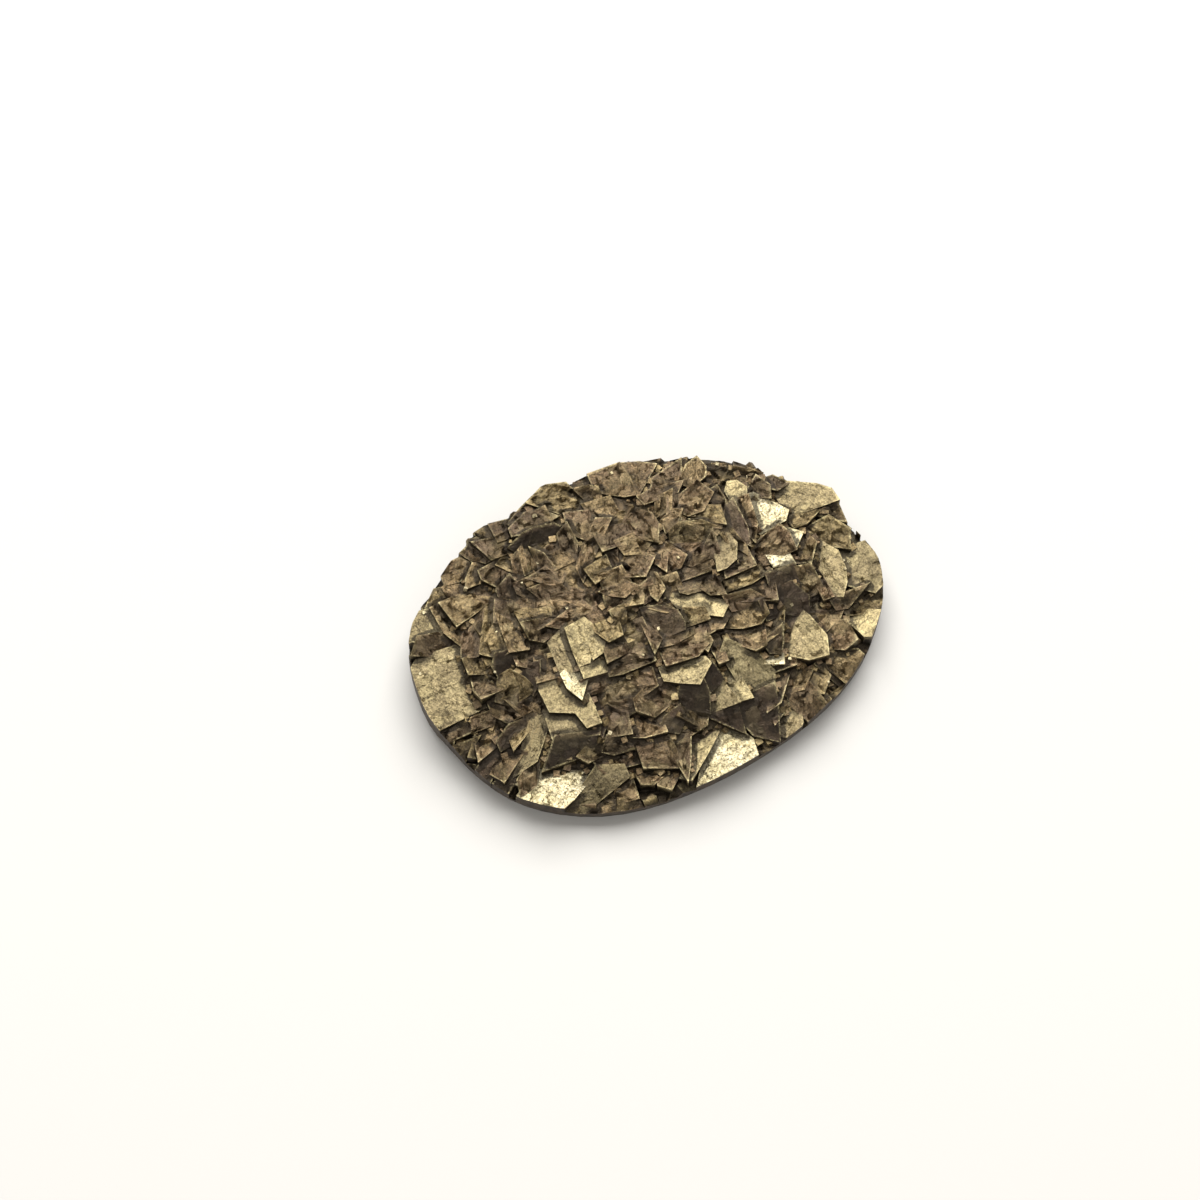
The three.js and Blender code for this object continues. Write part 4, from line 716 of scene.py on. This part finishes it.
shader = add(tree, "ShaderNodeBsdfPrincipled", {"Base Color": film, "Metallic": 0.8,
                                                "Roughness": rough, "Normal": bump.outputs[0]})
add(tree, "ShaderNodeOutputMaterial", {"Surface": shader.outputs[0]})
mesh.materials.append(pyrite)

# %% [markdown]
# Where the stone was ground and sawn, it is dull, dark brown and barely metallic to the eye. The
# ground wall is told from the crystals by three signs: it is upright, it faces outwards, and it
# lies at the very rim.

# %%
# The ground wall and the sawn back
ground_stone = bpy.data.materials.new("ground pyrite")
ground_stone.use_nodes = True
ground_tree = ground_stone.node_tree
ground_tree.nodes.clear()
spot = add(ground_tree, "ShaderNodeTexCoord").outputs["Object"]
dust = add(ground_tree, "ShaderNodeTexNoise", {"Vector": spot, "Scale": 2200.0, "Detail": 5.0})
wall_colour = mix(ground_tree, ramp(ground_tree, dust.outputs["Fac"], 0.35, 0.65),
                  linear("#221b13"), linear("#463a2b"))
scratch = add(ground_tree, "ShaderNodeBump", {"Height": dust.outputs["Fac"], "Strength": 0.5,
                                              "Distance": 0.00006})
ground_shader = add(ground_tree, "ShaderNodeBsdfPrincipled",
                    {"Base Color": wall_colour, "Metallic": 0.3, "Roughness": 0.65,
                     "Normal": scratch.outputs[0]})
add(ground_tree, "ShaderNodeOutputMaterial", {"Surface": ground_shader.outputs[0]})
mesh.materials.append(ground_stone)
BINS = 180           # sectors round the stone, each with a rim distance of its own
RIM_BAND = 0.4       # mm, how near to the rim a piece of the wall lies
UPRIGHT = 0.02       # the greatest upward or downward share in the normal of the wall
FACES_OUT = 0.5      # the least outward share in the normal of the wall
FACES_DOWN = -0.05   # a normal below this is the undercut or the sawn back
centre_of = points[skin].mean(axis=1)
around = np.arctan2(centre_of[:, 1], centre_of[:, 0])
out_to = np.hypot(centre_of[:, 0], centre_of[:, 1])
sector = np.clip(((around + np.pi) / (2 * np.pi) * BINS).astype(int), 0, BINS - 1)
rim_at = np.zeros(BINS)
np.maximum.at(rim_at, sector, out_to)
way = all_normals[owner]
facing_out = (way[:, 0] * centre_of[:, 0] + way[:, 1] * centre_of[:, 1]) / out_to > FACES_OUT
on_rim = (out_to > rim_at[sector] - RIM_BAND) & (np.abs(way[:, 2]) < UPRIGHT) & facing_out
finish_index = np.zeros(len(all_faces), dtype=np.int32)
finish_index[:len(skin)] = on_rim | (way[:, 2] < FACES_DOWN)
mesh.polygons.foreach_set("material_index", finish_index)
print("ground triangles", int(finish_index.sum()))

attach(stone, "root")
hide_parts("pyrite_druse")

# %% [markdown]
# The stone lies on a plain pale floor in soft light. The large key light stands behind the stone
# and high up, which lets faces that lean a little away from the camera flash, and darkens the
# faces that lean towards it.

# %%
# Floor, light and camera
def lamp(name, azimuth, elevation, distance_m, size_m, watts):
    """A square soft light that looks at the stone from a direction given in degrees."""
    a, e = np.radians([azimuth, elevation])
    way = np.array([np.cos(a) * np.cos(e), np.sin(a) * np.cos(e), np.sin(e)])
    data = bpy.data.lights.new(name, "AREA")
    data.shape, data.size, data.energy = "SQUARE", size_m, watts
    obj = bpy.data.objects.new(name, data)
    side = np.cross([0, 0, 1], way)
    side /= np.linalg.norm(side)
    place = np.eye(4)
    place[:3, 0], place[:3, 1], place[:3, 2] = side, np.cross(way, side), way
    place[:3, 3] = way * distance_m
    obj.matrix_world = Matrix(place.tolist())
    bpy.context.scene.collection.objects.link(obj)


FLOOR_HALF = 1.0                    # m
EYE_DISTANCE = 240.0                # mm from the camera to the stone
EYE_RIGHT, EYE_UP = -2.934, 2.495   # mm that the camera is moved sideways and upwards

lamp("key", 69, 55, 0.45, 0.46, 6.0)
lamp("fill", 250, 45, 0.6, 0.5, 0.8)

floor_mesh = bpy.data.meshes.new("floor")
floor_mesh.from_pydata([(a * FLOOR_HALF, b * FLOOR_HALF, 0) for a, b in
                        ((-1, -1), (1, -1), (1, 1), (-1, 1))], [], [(0, 1, 2, 3)])
floor = bpy.data.objects.new("floor", floor_mesh)
bpy.context.scene.collection.objects.link(floor)
pale = bpy.data.materials.new("pale floor")
pale.use_nodes = True
pale.node_tree.nodes["Principled BSDF"].inputs["Base Color"].default_value = linear("#a8a6a2")
pale.node_tree.nodes["Principled BSDF"].inputs["Roughness"].default_value = 0.8
floor_mesh.materials.append(pale)

world = bpy.data.worlds.new("soft room")
world.use_nodes = True
world.node_tree.nodes["Background"].inputs["Color"].default_value = (1.0, 0.98, 0.94, 1.0)
world.node_tree.nodes["Background"].inputs["Strength"].default_value = 0.68
bpy.context.scene.world = world
bpy.context.scene.view_settings.view_transform = "Standard"

elevation, azimuth = np.radians([67.6, -21.4])
back = np.array([np.sin(azimuth) * np.cos(elevation), -np.cos(azimuth) * np.cos(elevation),
                 np.sin(elevation)])
right = np.array([np.cos(azimuth), np.sin(azimuth), 0.0])
above = np.cross(back, right)
eye = back * EYE_DISTANCE + right * EYE_RIGHT + above * EYE_UP - np.array([*CENTRE, 0.0])
place = np.eye(4)
place[:3, 0], place[:3, 1], place[:3, 2], place[:3, 3] = right, above, back, eye * MM
lens = bpy.data.cameras.new("camera")
lens.sensor_width, lens.lens = 36.0, 109.94
lens.clip_start = 0.01
camera = bpy.data.objects.new("camera", lens)
bpy.context.scene.collection.objects.link(camera)
camera.matrix_world = Matrix(place.tolist())
bpy.context.scene.camera = camera
